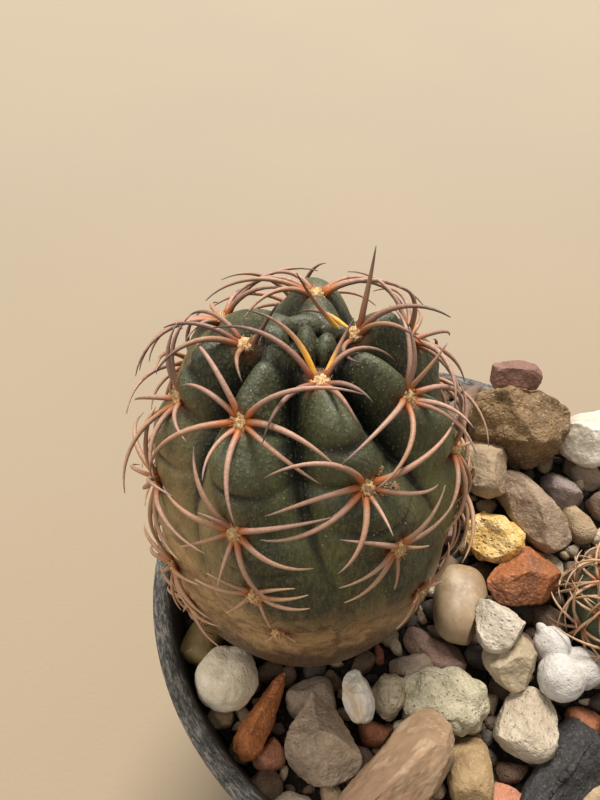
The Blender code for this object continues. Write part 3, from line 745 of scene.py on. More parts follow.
def skin_relief(turn, arc):
    """How far the skin stands out from the smooth outline in mm, and how deep it lies in a groove, which sets its
    painted groove shade.
    """
    fraction = np.mod(turn, 1.0)
    across = 1.0 - np.abs(np.cos(math.pi * fraction)) ** 1.15
    depth = np.interp(arc, (0.0, 2.5, 5.0, 9.0, 14.0, 20.0, 27.0, 36.0, 46.0, 60.0),
                      (0.0, 0.3, 1.6, 4.4, 4.9, 3.1, 1.4, 0.6, 0.25, 0.1))
    out = -depth * across
    width = np.interp(arc, ARCS, RADII) * 2.0 * math.pi / COUNT
    crease = np.exp(-(((fraction - 0.5) * width / 0.36) ** 2))
    fade = np.interp(arc, (4.0, 10.0, 22.0, 32.0, 60.0), (0.0, 1.0, 0.9, 0.45, 0.2))
    out -= 0.42 * crease * fade
    # The groove share sets painted shade in the skin finish: grooves, creases, notches and furrows
    groove = np.clip(across**2 * depth / 3.4, 0.0, 1.0) + 0.6 * crease * fade
    for rib, (_, arcs) in enumerate(RIBS):
        aside = np.mod(turn - rib + COUNT / 2.0, COUNT) - COUNT / 2.0
        near = np.abs(aside) < 0.5
        previous = 1.5
        for place in arcs:
            gap = place - previous
            share = np.clip((arc - previous) / gap, 0.0, 1.0)
            dome = np.sin(math.pi * share) ** 0.75 * np.cos(math.pi * np.clip(aside, -0.5, 0.5)) ** 0.8
            swell = np.interp(place, (6.0, 14.0, 26.0, 38.0), (0.9, 1.5, 0.55, 0.1))
            out += near * dome * (swell if previous > 2.0 else FIRST_SWELLS[rib])
            size = np.interp(place, (6.0, 14.0, 26.0, 40.0, 52.0), (0.5, 0.9, 0.9, 0.5, 0.25))
            notch = np.exp(-(((arc - place) / 0.9) ** 2)) * near * np.interp(place, (6.0, 16.0, 30.0), (1.0, 0.9, 0.1))
            out -= 0.8 * notch
            groove = np.maximum(groove, 0.5 * notch)
            if previous > 2.0:
                line = place - 0.38 * gap - 7.0 * aside**2
                furrow = np.exp(-(((arc - line) / np.interp(place, (12.0, 30.0), (0.8, 0.5))) ** 2))
                furrow *= near * np.clip(1.1 - 2.0 * np.abs(aside), 0.0, 1.0)
                chin = np.exp(-(((arc - line + 2.4) / 2.2) ** 2) - (aside / 0.33) ** 2)
                out += near * size * (0.75 * chin - 0.7 * furrow)
                groove = np.maximum(groove, furrow * np.clip(size, 0.0, 1.0) * 0.9)
            previous = place
    grown = np.clip((arc - 3.6) / 3.4, 0.0, 1.0)
    grown = grown * grown * (3.0 - 2.0 * grown)
    return out * grown - 1.2 * (1.0 - grown), np.clip(groove * grown, 0.0, 1.0)


def skin_places(turn, arc):
    """Places on the skin in metres, and each one's groove depth, which sets its painted groove shade."""
    radius = np.interp(arc, ARCS, RADII)
    height = np.interp(arc, ARCS, HEIGHTS)
    ahead, behind = arc + 0.4, np.maximum(arc - 0.4, 0.0)
    run_radius = np.interp(ahead, ARCS, RADII) - np.interp(behind, ARCS, RADII)
    run_height = np.interp(ahead, ARCS, HEIGHTS) - np.interp(behind, ARCS, HEIGHTS)
    length = np.maximum(np.hypot(run_radius, run_height), 1e-9)
    out, groove = skin_relief(turn, arc)
    radius = np.maximum(radius - run_height / length * out, 0.0)
    height = height + run_radius / length * out
    bearing = np.radians(rib_bearing(turn, arc))
    rows = np.stack([radius * np.sin(bearing), -radius * np.cos(bearing), height + RIM_TOP], axis=-1)
    return rows * MM + np.array(BODY_CENTRE), groove


def skin_frame(rib, arc):
    """Spot, outward, downward and sideways directions at an areole."""
    turns = np.array([rib, rib, rib + 0.06, rib - 0.06], float)
    arcs = np.array([arc + 1.6, max(arc - 1.6, 0.1), arc, arc], float)
    rows, _ = skin_places(turns, arcs)
    down = Vector(rows[0] - rows[1]).normalized()
    side = Vector(rows[2] - rows[3]).normalized()
    out = down.cross(side).normalized()
    spot = Vector(skin_places(np.array([float(rib)]), np.array([float(arc)]))[0][0])
    if out.dot(spot - (BODY_CENTRE + Vector((0.0, 0.0, RIM_HEIGHT + 15.0 * MM)))) < 0.0:
        out = -out
    return spot, out, down, out.cross(down).normalized()


# Young tubercles in the middle of the crown: place, half length and half width in mm, turn in degrees, rise in mm
YOUNG_TUBERCLES = (
    ((-20.1, -0.9), 2.6, 1.35, 86.0, 3.2),
    ((-18.0, -0.9), 2.0, 1.15, 76.0, 2.5),
    ((-22.6, -2.4), 2.3, 1.35, -12.0, 2.3),
    ((-16.8, 1.9), 1.7, 1.1, -20.0, 1.8),
    ((-20.5, 2.7), 2.9, 1.6, 4.0, 2.3),
    ((-23.4, 0.9), 1.9, 1.5, 125.0, 2.1),
)


def raise_young_tubercles(places, groove):
    """Lifts small smooth ovals, pressed against each other, out of the middle of the crown, and paints shade into the
    narrow gaps between them.
    """
    crown = places[:, 2] > RIM_HEIGHT + 38.0 * MM
    lift = np.zeros(len(places))
    closest = np.full(len(places), 9.0)
    for (x, y), half_length, half_width, turn, rise in YOUNG_TUBERCLES:
        dx, dy = places[:, 0] / MM - x, places[:, 1] / MM - y
        c, s = math.cos(math.radians(turn)), math.sin(math.radians(turn))
        reach = ((dx * c + dy * s) / half_length) ** 2 + ((dy * c - dx * s) / half_width) ** 2
        lift = np.maximum(lift, rise * np.sqrt(np.clip(1.0 - reach, 0.0, 1.0)))
        closest = np.minimum(closest, reach)
    places[:, 2] += lift * crown * MM
    # Painted shade fills the gaps round the ovals through the groove mark; the ovals themselves keep little of it
    off_middle = np.hypot(places[:, 0] / MM + 19.8, places[:, 1] / MM + 0.2)
    painted_gap_shade = np.clip((closest - 0.72) / 0.3, 0.0, 1.0) * crown * np.clip((6.4 - off_middle) / 1.6, 0.0, 1.0)
    groove[:] = np.clip(np.where(closest < 0.72, groove * 0.2, groove) + 0.95 * painted_gap_shade, 0.0, 1.0)


# Where the skin has faded to olive: count of ribs round, arc from the crown in mm, and how far it spreads
FADED_PATCHES = (
    (1.55, 24.0, 0.28, 7.5), (2.5, 23.0, 0.16, 7.0), (1.1, 33.0, 0.3, 8.0),
    (3.6, 26.0, 0.2, 6.0), (5.3, 25.0, 0.3, 8.0), (6.4, 30.0, 0.3, 9.0),
)
COLUMNS, RINGS_DOWN = COUNT * 44, 268


def make_body():
    """The large cactus: a sphere whose columns follow the twisted ribs and whose rings follow the outline."""
    let_go()
    bpy.ops.mesh.primitive_uv_sphere_add(segments=COLUMNS, ring_count=RINGS_DOWN, radius=1.0)
    body = bpy.context.object
    rows = corners_of(body)
    polar = np.arccos(np.clip(rows[:, 2], -1.0, 1.0)) / math.pi
    arc = polar * ARCS[-1]
    turn = np.mod(np.arctan2(rows[:, 1], rows[:, 0]) / FULL_TURN, 1.0) * COUNT
    places, groove = skin_places(turn, arc)
    pole = np.hypot(rows[:, 0], rows[:, 1]) < 1e-6
    places[pole, :2] = np.array(BODY_CENTRE)[:2]
    raise_young_tubercles(places, groove)
    move_corners(body, places)
    roughen(body, "CLOUDS", 7.0, 0.5)
    roughen(body, "CLOUDS", 1.2, 0.03)
    upward = np.empty(len(rows) * 3, np.float32)
    body.data.vertices.foreach_get("normal", upward)
    bloom = np.clip(upward.reshape(-1, 3)[:, 2] * 0.9 - 0.1, 0.0, 1.0) * (1.0 - groove)
    bloom *= np.interp(arc, (0.0, 16.0, 34.0, 46.0), (0.75, 1.0, 0.55, 0.15))
    spots = [np.array(skin_frame(rib, place)[0]) for rib, (_, arcs) in enumerate(RIBS) for place in arcs]
    nearest = np.min([np.linalg.norm(places - spot, axis=1) for spot in spots], axis=0) / MM
    faded = np.zeros(len(rows))
    for rib, middle, wide, tall in FADED_PATCHES:
        faded += np.exp(-(((turn - rib) / wide) ** 2) - ((arc - middle) / tall) ** 2)
    stain = np.clip((2.3 - nearest) / 1.3, 0.0, 1.0)
    # The groove mark carries the painted groove shade into the skin finish
    mark_points(body, groove=groove, bloom=bloom, faded=np.clip(faded, 0.0, 1.0), stain=stain)
    return settle(body, "cactus_body", skin_finish(), ("round_cactus",))


# ---------------------------------------------------------------- spines and wool

def spine_points(root, side, down, out, row, count=13):
    """Points of one spine; the row holds its clock turn, length, sideways bend, lift and curl back to the skin."""
    clock, length, bend, lift, curl = row
    points = [root.copy()]
    step = length / (count - 1)
    for number in range(count - 1):
        share = (number + 0.5) / (count - 1)
        turn = clock + bend * share**1.3
        slope = lift - curl * share
        way = down * math.cos(turn) + side * math.sin(turn)
        points.append(points[-1] + (way * math.cos(slope) + out * math.sin(slope)) * step)
    return points


def least_room(points, skin, thick):
    """Least room between a spine and the skin, past the spine's root."""
    room = 1.0
    for point in points[2:]:
        near, normal, _, distance = skin.find_nearest(point)
        if (point - near).dot(normal) < 0.0:
            distance = -distance
        room = min(room, distance - thick)
    return room


SPINE_CLEARANCE = 0.05 * MM
SPINE_TIP = 0.05 * MM


def lay_spine(root, side, down, out, row, skin):
    """Lifts a spine until it clears the skin."""
    clock, length, bend, lift, curl = row
    for _ in range(18):
        points = spine_points(root, side, down, out, (clock, length, bend, lift, curl))
        if least_room(points, skin, 0.25 * MM) > SPINE_CLEARANCE:
            break
        lift += math.radians(2.5)
        curl -= math.radians(2.0)
    return points


def grow_curve(name, runs, sides=8):
    """Makes one mesh of several tapered spines; each run holds points, base radius, tip radius and tone."""
    curve = bpy.data.curves.new(name, "CURVE")
    curve.dimensions = "3D"
    curve.bevel_depth = 1.0
    curve.bevel_resolution = sides // 2 - 2
    along, tones = [], []
    for points, base, tip, tone in runs:
        spline = curve.splines.new("POLY")
        spline.points.add(len(points) - 1)
        for number, place in enumerate(points):
            share = number / (len(points) - 1)
            bulb = 0.35 * math.exp(-((share / 0.07) ** 2))
            spline.points[number].co = (*place, 1.0)
            spline.points[number].radius = (base * (1.0 - share**1.9) + tip * share**1.9) * (1.0 + bulb)
            along += [share] * sides
            tones += [tone] * sides
    pick_only(link_piece(name, curve))
    bpy.ops.object.convert(target="MESH")
    piece = bpy.context.object
    mark_points(piece, along=along, tone=tones)
    edit_all(piece, (bpy.ops.mesh.fill_holes, {"sides": sides}))
    return piece


# Spines round an areole: clock turn (0 points down the rib, positive to the right seen from outside), length
# in mm and sideways bend. The usual ring serves every areole that has no list of its own.
USUAL_RING = ((4, 10.5, 10), (52, 9.0, 10), (84, 12.5, -25), (128, 12.5, -40), (172, 10.0, 20), (-120, 12.5, 40),
              (-78, 13.0, 30), (-40, 8.5, -10))
RINGS = {
    "rib1_1": ((40, 13.0, 10), (56, 13.5, -8), (25, 12.0, 25), (90, 6.0, 0), (-30, 7.0, -40), (-135, 14.0, 12),
               (-118, 13.0, 30), (-160, 11.5, 0), (-90, 10.0, 30)),
    "rib3_1": ((15, 10.5, 15), (-15, 7.5, 45), (-68, 14.0, 55), (-125, 8.5, 60), (-150, 12.0, 60), (138, 14.0, -50),
               (105, 12.5, -60), (75, 10.5, -12)),
    "rib3_2": ((-155, 10.0, -10), (-165, 4.5, 40), (-120, 9.0, 0), (-75, 6.5, 10), (-15, 5.5, 0), (15, 8.5, 15),
               (60, 9.0, 10), (118, 12.0, -35)),
    "rib4_2": ((-168, 12.5, 100), (-125, 11.5, 60), (-85, 12.5, -12), (-38, 9.0, -30), (-9, 5.5, -15), (52, 8.5, 15),
               (92, 12.5, 8)),
    "rib4_3": ((-168, 9.0, 55), (128, 8.5, -15), (100, 7.0, 0), (-112, 7.5, 20), (-75, 8.0, 0), (-30, 5.0, 0),
               (50, 3.5, 0)),
    "rib3_3": ((-150, 5.5, 40), (-115, 6.5, 15), (-60, 4.0, 0), (20, 3.5, 0), (78, 6.0, 10), (105, 6.5, -10),
               (140, 6.5, -60)),
    "rib3_4": ((-60, 1.6, 0), (20, 1.8, 0), (70, 1.5, 0), (150, 1.6, 0)),
    "rib4_4": ((-95, 5.0, -10), (-150, 3.2, 0), (125, 8.0, 20), (-32, 3.0, 0), (63, 3.0, 0), (165, 5.0, 0)),
    "rib4_1": ((-62, 9.5, 20), (-159, 10.5, 45), (-140, 12.5, 30), (128, 7.0, 0), (124, 9.0, -90), (42, 6.0, -20),
               (10, 7.5, 0)),
    "rib6_1": ((165, 11.0, -18), (110, 7.5, 45), (18, 9.2, 22), (-10, 11.0, -40), (-28, 8.5, -45), (-130, 6.5, 90)),
    "rib5_1": ((-118, 12.0, 20), (-75, 11.5, -25), (-12, 9.0, -35), (0, 7.5, -55), (55, 11.0, -80), (105, 6.5, 0),
               (148, 7.5, 0), (132, 11.5, -30)),
    "rib2_1": ((-56, 9.0, 25), (-18, 9.0, 0), (7, 10.5, 35), (63, 6.5, 45), (160, 7.0, 0)),
    "rib2_2": ((-155, 9.5, -30), (-170, 8.5, 0), (-130, 10.5, 40), (-50, 8.0, 0), (5, 12.5, 30), (35, 9.5, 15),
               (86, 7.5, 0)),
    "rib5_2": ((165, 7.0, 0), (105, 7.5, 20), (-95, 8.5, 30), (-40, 11.0, -20), (-18, 8.0, 0), (35, 5.5, 0)),
    "rib7_1": ((37, 8.0, 70), (66, 11.0, 50), (92, 14.0, -10), (117, 11.0, 25), (-57, 10.5, -70), (-79, 11.5, -50),
               (-95, 13.5, 0)),
}
# Erect young spines: areole and clock turn
ERECT = {("rib6_1", 165): 36.0, ("rib6_1", 18): 50.0, ("rib4_1", 128): 46.0, ("rib5_1", 105): 60.0,
         ("rib2_1", 160): 58.0}
# Spines with a bright yellow foot
GOLDEN = {("rib6_1", 165), ("rib6_1", 110), ("rib4_1", -159), ("rib4_1", 128)}


def make_areoles(body):
    """Every areole with its wool and its ring of spines."""
    skin = surface_tree(body)
    pick = random.Random(11)
    horn = spine_finish("spine_horn", (0.40, 0.120, 0.026), (0.41, 0.238, 0.172), (0.22, 0.165, 0.150),
                        low_tip=(0.56, 0.40, 0.24))
    young = spine_finish("young_spine", (0.27, 0.075, 0.028), (0.27, 0.145, 0.110), (0.040, 0.028, 0.032), 0.45,
                         golden=(0.78, 0.40, 0.04))
    wool = wool_finish()
    for rib, (_, arcs) in enumerate(RIBS):
        for number, arc in enumerate(arcs):
            spot, out, down, side = skin_frame(rib, arc)
            name = f"rib{rib + 1}_{number + 1}"
            fresh = arc < 7.1
            worn = min(max(arc - 30.0, 0.0) / 16.0, 1.0)
            steep = min(max(out.z * 1.6, 0.0), 1.0)
            chosen = name in RINGS
            runs = []
            for clock, length, bend in RINGS.get(name, USUAL_RING):
                length *= MM * (1.0 if chosen else pick.uniform(0.85, 1.08) * (1.0 - 0.4 * worn))
                turn = math.radians(clock + (0.0 if chosen else pick.uniform(-10.0, 10.0)))
                lift, curl = ERECT.get((name, clock)), 16.0
                if lift is None:
                    lift = pick.uniform(22.0, 30.0) + 14.0 * steep
                    curl = (pick.uniform(52.0, 66.0) + 32.0 * steep) * min(1.0, length / MM / 9.0)
                root = spot + (down * math.cos(turn) + side * math.sin(turn)) * 0.8 * MM + out * 0.25 * MM
                row = (turn, length, math.radians(bend), math.radians(lift), math.radians(curl))
                points = lay_spine(root, side, down, out, row, skin)
                thick = pick.uniform(0.31, 0.375) * min(1.0, 0.55 + length / MM / 20.0) * MM
                tone = 0.85 * pick.random()
                runs.append((points, thick, SPINE_TIP, 1.0 if (name, clock) in GOLDEN else tone))
            spines = grow_curve("spines_" + name, runs)
            settle(spines, "spines_" + name, young if fresh else horn, (f"spines_{name}",))
            make_wool(name, spot, out, down, side, wool, pick, worn)


def make_wool(name, spot, out, down, side, finish, pick, worn):
    """A tuft of short felted wool in the middle of an areole, with loose fibres round it."""
    tuft = add_ball(4)
    rows = corners_of(tuft)
    mark_points(tuft, along=(rows[:, 2] + 1.0) / 2.0)
    size = (1.0 - 0.25 * worn) * MM
    axes = np.array([side * size, down * size * 1.25, out * 0.7 * MM * (1.0 - 0.3 * worn)])
    move_corners(tuft, rows @ axes + np.array(spot + out * 0.2 * MM))
    roughen(tuft, "CLOUDS", 0.3, 1.0, 3)
    fibres = []
    for _ in range(34):
        turn, tilt = pick.uniform(0.0, FULL_TURN), pick.uniform(0.15, 1.25)
        root = spot + (down * 1.25 * math.cos(turn) + side * math.sin(turn)) * math.cos(tilt) * 0.75 * size
        root += out * (0.25 + 0.4 * math.sin(tilt)) * MM
        row = (turn, pick.uniform(0.5, 1.0) * MM, pick.uniform(-1.2, 1.2), tilt, pick.uniform(-0.5, 1.4))
        fibres.append((spine_points(root, side, down, out, row, 5), 0.035 * MM, 0.012 * MM, 0.0))
    fuzz = grow_curve("fuzz_" + name, fibres, 4)
    fuzz.data.attributes["along"].data.foreach_set("value", np.full(len(fuzz.data.vertices), 0.75, np.float32))
    settle(join_all([tuft, fuzz]), "wool_" + name, finish)


# ---------------------------------------------------------------- pot, soil and floor

def pot_profile():
    """The wall's outline as (radius, height) in mm, from the middle of the inner floor out over the lip and back."""
    rim, outer, inner = RIM_RADIUS / MM, FOOT_RADIUS, FOOT_RADIUS - WALL_THICKNESS
    mouth = inner + WALL_SLOPE * RIM_TOP
    profile = [(0.0, 1.8), (20.0, 1.8), (29.6 + WALL_SLOPE * 1.8, 1.8), (29.9 + WALL_SLOPE * 3.0, 3.0)]
    profile += [(inner + WALL_SLOPE * z, z) for z in (30.0, 55.0, 70.0, 76.0, RIM_TOP - 1.2)]
    profile += [(mouth + over, RIM_TOP - drop) for over, drop in ((0.15, 0.4), (0.5, 0.08), (1.3, 0.0))]
    lip = ((0.5, 0.1), (0.12, 0.45), (0.0, 1.0), (0.1, 4.5), (0.3, 8.4), (0.6, 8.9), (1.2, 9.0))
    profile += [(rim - within, RIM_TOP - drop) for within, drop in lip]
    profile += [(outer + WALL_SLOPE * (RIM_TOP - 9.0), RIM_TOP - 9.1)]
    profile += [(outer + WALL_SLOPE * (RIM_TOP - 9.6), RIM_TOP - 9.8)]
    profile += [(outer + WALL_SLOPE * z, z) for z in (50.0, 25.0, 2.5)]
    return profile + [(outer, 1.0), (30.4, 0.25), (29.6, 0.0), (20.0, 0.0), (0.0, 0.0)]


def make_pot():
    """Thin pot: a wall profile spun round its axis, with a roughened lip and drainage holes."""
    profile = pot_profile()
    rows, links = [(r * MM, 0.0, z * MM) for r, z in profile], [(n, n + 1) for n in range(len(profile) - 1)]
    pot = new_piece("pot_wall", rows, links, [])
    edit_all(
        pot,
        (bpy.ops.mesh.spin, {"steps": 180, "angle": FULL_TURN, "center": (0.0, 0.0, 0.0), "axis": (0.0, 0.0, 1.0)}),
        (bpy.ops.mesh.remove_doubles, {"threshold": 0.01 * MM}),
        (bpy.ops.mesh.normals_make_consistent, {"inside": False}),
    )
    let_go()
    holes = []
    for number in range(6):
        angle = FULL_TURN * number / 6
        place = (18.6 * MM * math.cos(angle), 18.6 * MM * math.sin(angle), 0.9 * MM)
        bpy.ops.mesh.primitive_cylinder_add(vertices=32, radius=3.5 * MM, depth=6.0 * MM, location=place)
        holes.append(bpy.context.object)
    cutter = join_all(holes)
    apply_modifier(pot, "BOOLEAN", operation="DIFFERENCE", object=cutter, solver="EXACT")
    bpy.data.objects.remove(cutter)
    rows = corners_of(pot)
    near_rim = np.clip((rows[:, 2] / MM - (RIM_TOP - 3.0)) / 3.0, 0.0, 1.0)
    angle = np.arctan2(rows[:, 1], rows[:, 0])
    wave = 0.16 * np.sin(angle * 5.0 + 0.6) + 0.10 * np.sin(angle * 13.0 + 2.0) + 0.05 * np.sin(angle * 41.0)
    rows[:, 2] += near_rim * (wave - 0.2) * MM
    move_corners(pot, rows)
    return settle(pot, "weathered_pot", pot_finish(), ("pot",), angle=40.0)


def copy_node(node, name):
    """A merged copy of a frame node's mesh, to be worked further."""
    piece = link_piece(name, NODES[node].data.copy())
    edit_all(piece, (bpy.ops.mesh.remove_doubles, {"threshold": 0.002 * MM}))
    return piece


def make_bed():
    """Dark grit under the stones."""
    bed = copy_node("gravel_bed", "grit_bed")
    smooth_levels(bed, 3, simple=True)
    finish = soil_finish("dark_grit", (0.022, 0.015, 0.010), (0.075, 0.052, 0.034), 1.3)
    return settle(bed, "grit_bed", finish, ("gravel_bed",))


def dress_soil():
    """The potting soil keeps its frame solid, with a crumbly finish."""
    soil = NODES["potting_soil"]
    soil.data.materials.clear()
    soil.data.materials.append(soil_finish("potting_mix", (0.035, 0.022, 0.014), (0.10, 0.065, 0.04), 0.7))


def make_floor():
    """A wide card under the pot."""
    let_go()
    bpy.ops.mesh.primitive_plane_add(size=FLOOR_SIDE, location=(0.0, 0.0, 0.0))
    floor = bpy.context.object
    floor.name = "pale_floor"
    floor.data.materials.append(floor_finish())


# ---------------------------------------------------------------- stones

# Each rock: length, width and height in mm, turn in degrees, how boxy it is (2 is round), taper towards its far
# end, flats as (bearing, rise, share of the half size), count of random cuts, lumps as (cell size, push), then
# base, second and grain colours and the settings of its finish
ROCKS = {
    "brown_boulder": (
        (17.0, 15.5, 15.6), 20, 2.5, 0.0, ((60, 30, 0.72), (200, 35, 0.7)), 7, (3.6, -1.3),
        (0.215, 0.130, 0.058), (0.080, 0.045, 0.022), (0.40, 0.30, 0.155),
        dict(patch=0.16, grains=1.7, grain_share=0.6, pits=0.5, bump=0.7),
    ),
    "grey_angular_stone": (
        (12.6, 8.9, 7.6), 98, 3.4, -0.55,
        ((35, 42, 0.55), (-40, 40, 0.58), (180, 38, 0.6), (140, 10, 0.7)), 2, None,
        (0.46, 0.345, 0.245), (0.26, 0.195, 0.14), (0.68, 0.55, 0.41),
        dict(patch=0.22, grains=2.6, grain_share=0.4, bump=0.4),
    ),
    "long_tan_flint": (
        (20.5, 8.2, 6.5), 36, 4.5, 0.24,
        ((80, 46, 0.56), (-85, 40, 0.58), (15, 25, 0.8), (-25, 10, 0.82), (100, 8, 0.86)), 1, None,
        (0.36, 0.235, 0.140), (0.21, 0.125, 0.072), (0.60, 0.48, 0.34),
        dict(patch=0.13, grains=0.8, grain_share=0.3, pits=0.05, bump=0.25, lay=(36, 2.4)),
    ),
    "granular_cream_stone": (
        (13.4, 9.0, 7.6), -8, 2.3, 0.1, (), 2, (3.0, -1.3),
        (0.47, 0.415, 0.295), (0.27, 0.25, 0.15), (0.62, 0.56, 0.42),
        dict(patch=0.5, grains=2.4, grain_share=0.6, pits=0.6, bump=0.6),
    ),
    "translucent_oval_pebble": (
        (12.6, 8.4, 7.6), 78, 2.7, 0.0, (), 1, None,
        (0.40, 0.30, 0.19), (0.22, 0.14, 0.07), (0.52, 0.43, 0.31),
        dict(patch=0.13, grains=1.2, grain_share=0.2, pits=0.0, bump=0.05, rough=0.52, clear=0.3),
    ),
    "long_grey_tan_stone": (
        (16.4, 7.0, 7.4), 116, 2.7, -0.12, ((90, 40, 0.7),), 3, None,
        (0.30, 0.215, 0.145), (0.15, 0.10, 0.062), (0.46, 0.37, 0.27),
        dict(patch=0.24, grains=2.2, grain_share=0.45, bump=0.4),
    ),
    "beige_back_stone": (
        (11.8, 8.6, 7.6), 98, 2.5, 0.1, ((0, 45, 0.72),), 3, None,
        (0.36, 0.265, 0.165), (0.20, 0.14, 0.085), (0.50, 0.41, 0.29),
        dict(patch=0.2, grains=2.6),
    ),
    "white_back_stone": (
        (12.0, 10.0, 9.0), 40, 2.5, 0.0, (), 4, None,
        (0.74, 0.69, 0.59), (0.55, 0.47, 0.36), (0.48, 0.40, 0.30),
        dict(patch=0.2, grains=2.2, pits=0.2),
    ),
    "slate_chip": (
        (18.0, 7.8, 5.2), 42, 4.0, 0.15,
        ((80, 38, 0.55), (-85, 40, 0.5), (10, 25, 0.85), (100, 5, 0.8)), 2, (5.0, -0.9),
        (0.018, 0.018, 0.019), (0.038, 0.036, 0.034), (0.12, 0.10, 0.08),
        dict(patch=0.3, grains=2.2, grain_share=0.35, pits=0.1, bump=0.5),
    ),
    "rust_chip": (
        (12.4, 8.4, 6.4), 22, 3.2, 0.3,
        ((20, 42, 0.58), (110, 40, 0.55), (-100, 38, 0.6), (195, 30, 0.62), (-55, 15, 0.75)), 1, None,
        (0.35, 0.115, 0.038), (0.115, 0.048, 0.027), (0.56, 0.28, 0.12),
        dict(patch=0.17, grains=2.0, grain_share=0.4, rough=0.55, bump=0.4),
    ),
    "golden_nugget": (
        (9.8, 8.8, 7.0), -30, 2.6, 0.0, (), 2, (3.4, -1.3),
        (0.68, 0.42, 0.115), (0.80, 0.62, 0.31), (0.36, 0.165, 0.035),
        dict(patch=0.4, grains=2.2, grain_share=0.5, pits=0.6, bump=0.6, rough=0.6),
    ),
    "pale_round_stone": (
        (9.4, 9.2, 7.9), 10, 2.15, 0.0, (), 0, (3.4, -0.5),
        (0.90, 0.80, 0.65), (0.58, 0.49, 0.32), (0.76, 0.66, 0.50),
        dict(patch=0.14, grains=2.6, grain_share=0.2, pits=0.15, bump=0.35),
    ),
    "orange_brick_chip": (
        (13.2, 3.9, 4.6), 62, 2.4, -0.55, ((80, 40, 0.6), (-85, 45, 0.66)), 3, None,
        (0.60, 0.215, 0.060), (0.30, 0.085, 0.028), (0.70, 0.40, 0.24),
        dict(patch=0.5, grains=2.4, grain_share=0.45, bump=0.5),
    ),
    "pitted_white_stone": (
        (9.8, 8.4, 7.2), 58, 2.6, -0.25, ((100, 45, 0.7),), 3, None,
        (0.47, 0.41, 0.315), (0.34, 0.27, 0.19), (0.26, 0.205, 0.14),
        dict(patch=0.25, grains=2.2, pits=0.35, bump=0.5),
    ),
    "cream_pebble": (
        (7.9, 7.4, 6.4), 110, 2.6, 0.15, ((30, 40, 0.66), (160, 40, 0.7)), 2, None,
        (0.40, 0.325, 0.22), (0.28, 0.215, 0.13), (0.25, 0.19, 0.115),
        dict(patch=0.2, grains=1.8, pits=0.2),
    ),
    "white_knob_stone": (
        (8.2, 6.8, 6.2), 110, 2.5, -0.4, ((60, 45, 0.66), (-60, 40, 0.66)), 3, None,
        (0.54, 0.475, 0.385), (0.39, 0.33, 0.245), (0.33, 0.27, 0.19),
        dict(patch=0.3, grains=2.0, pits=0.4, bump=0.45),
    ),
    "tan_oval_pebble": (
        (9.2, 6.2, 5.6), 80, 2.5, -0.05, (), 2, None,
        (0.32, 0.215, 0.105), (0.17, 0.10, 0.046), (0.46, 0.36, 0.22),
        dict(patch=0.28, grains=2.0, grain_share=0.3),
    ),
    "red_brown_block": (
        (8.4, 6.4, 5.8), 8, 3.8, 0.0, ((90, 60, 0.8),), 2, None,
        (0.225, 0.115, 0.085), (0.135, 0.068, 0.052), (0.35, 0.22, 0.165),
        dict(patch=0.2, grains=2.4, grain_share=0.35),
    ),
    "white_quartz_pebble": (
        (7.4, 4.9, 5.0), 100, 2.3, 0.0, (), 3, (2.6, -0.4),
        (0.86, 0.82, 0.75), (0.60, 0.42, 0.20), (0.76, 0.70, 0.60),
        dict(patch=0.15, grains=1.6, stain=0.8, grain_share=0.15, pits=0.1, rough=0.5, clear=0.1),
    ),
    "knobby_grey_pebble": (
        (7.2, 5.0, 5.0), 70, 2.2, 0.1, (), 1, (2.3, -1.1),
        (0.46, 0.385, 0.275), (0.29, 0.235, 0.155), (0.20, 0.15, 0.095),
        dict(patch=0.4, grains=2.4, pits=0.4, bump=0.5),
    ),
    "olive_pebble": (
        (7.0, 5.8, 5.0), 70, 3.0, 0.0, (), 1, None,
        (0.25, 0.18, 0.072), (0.17, 0.115, 0.042), (0.32, 0.24, 0.12),
        dict(patch=0.12, grains=1.5, pits=0.0, bump=0.1, rough=0.5),
    ),
}


# Rocks that lie a little off the middle of their frame solid, in mm
NUDGES = {
    "brown_boulder": (-0.5, 0.5, 0.8), "white_knob_stone": (-3.0, -0.4, -2.2), "pitted_white_stone": (1.0, -2.4, 0.0),
    "cream_pebble": (1.8, -2.0, 0.3), "slate_chip": (2.0, -1.8, 0.4), "grey_angular_stone": (0.0, 1.0, 0.2),
    "long_tan_flint": (-0.6, 0.4, 0.0), "red_brown_block": (-0.4, -0.8, -0.4),
    "white_back_stone": (-2.4, -0.6, 0.4), "long_grey_tan_stone": (-1.4, 0.0, 0.0),
    "beige_back_stone": (3.2, -2.6, 2.2), "golden_nugget": (1.8, -0.6, 0.3),
}
# How much of the usual roughness is left on water-worn stones
WORN_SMOOTH = {"translucent_oval_pebble": 0.25, "olive_pebble": 0.35, "pale_round_stone": 0.6, "tan_oval_pebble": 0.7}


def cut_flat(rows, way, reach, keep=0.06):
    """Presses everything past a plane back onto it, leaving a trace of roundness."""
    over = np.maximum(rows @ way - reach, 0.0)
    rows -= np.outer(over, way) * (1.0 - keep)


def rock_form(rows, boxy, taper, flats, cuts, seed):
    """Turns the corners of a ball into a boxy, tapered and chipped form of half size 1."""
    rows = rows / (np.abs(rows) ** boxy).sum(axis=1, keepdims=True) ** (1.0 / boxy)
    for bearing, rise, reach in flats:
        b, r = math.radians(bearing), math.radians(rise)
        cut_flat(rows, np.array((math.cos(r) * math.cos(b), math.cos(r) * math.sin(b), math.sin(r))), reach)
    pick = np.random.default_rng(seed)
    for _ in range(cuts):
        way = pick.normal(size=3)
        way[2] = abs(way[2])
        way /= np.linalg.norm(way)
        cut_flat(rows, way, pick.uniform(0.7, 0.9))
    rows[:, 1] *= 1.0 + taper * rows[:, 0]
    rows[:, 2] *= 1.0 + 0.5 * taper * rows[:, 0]
    return rows


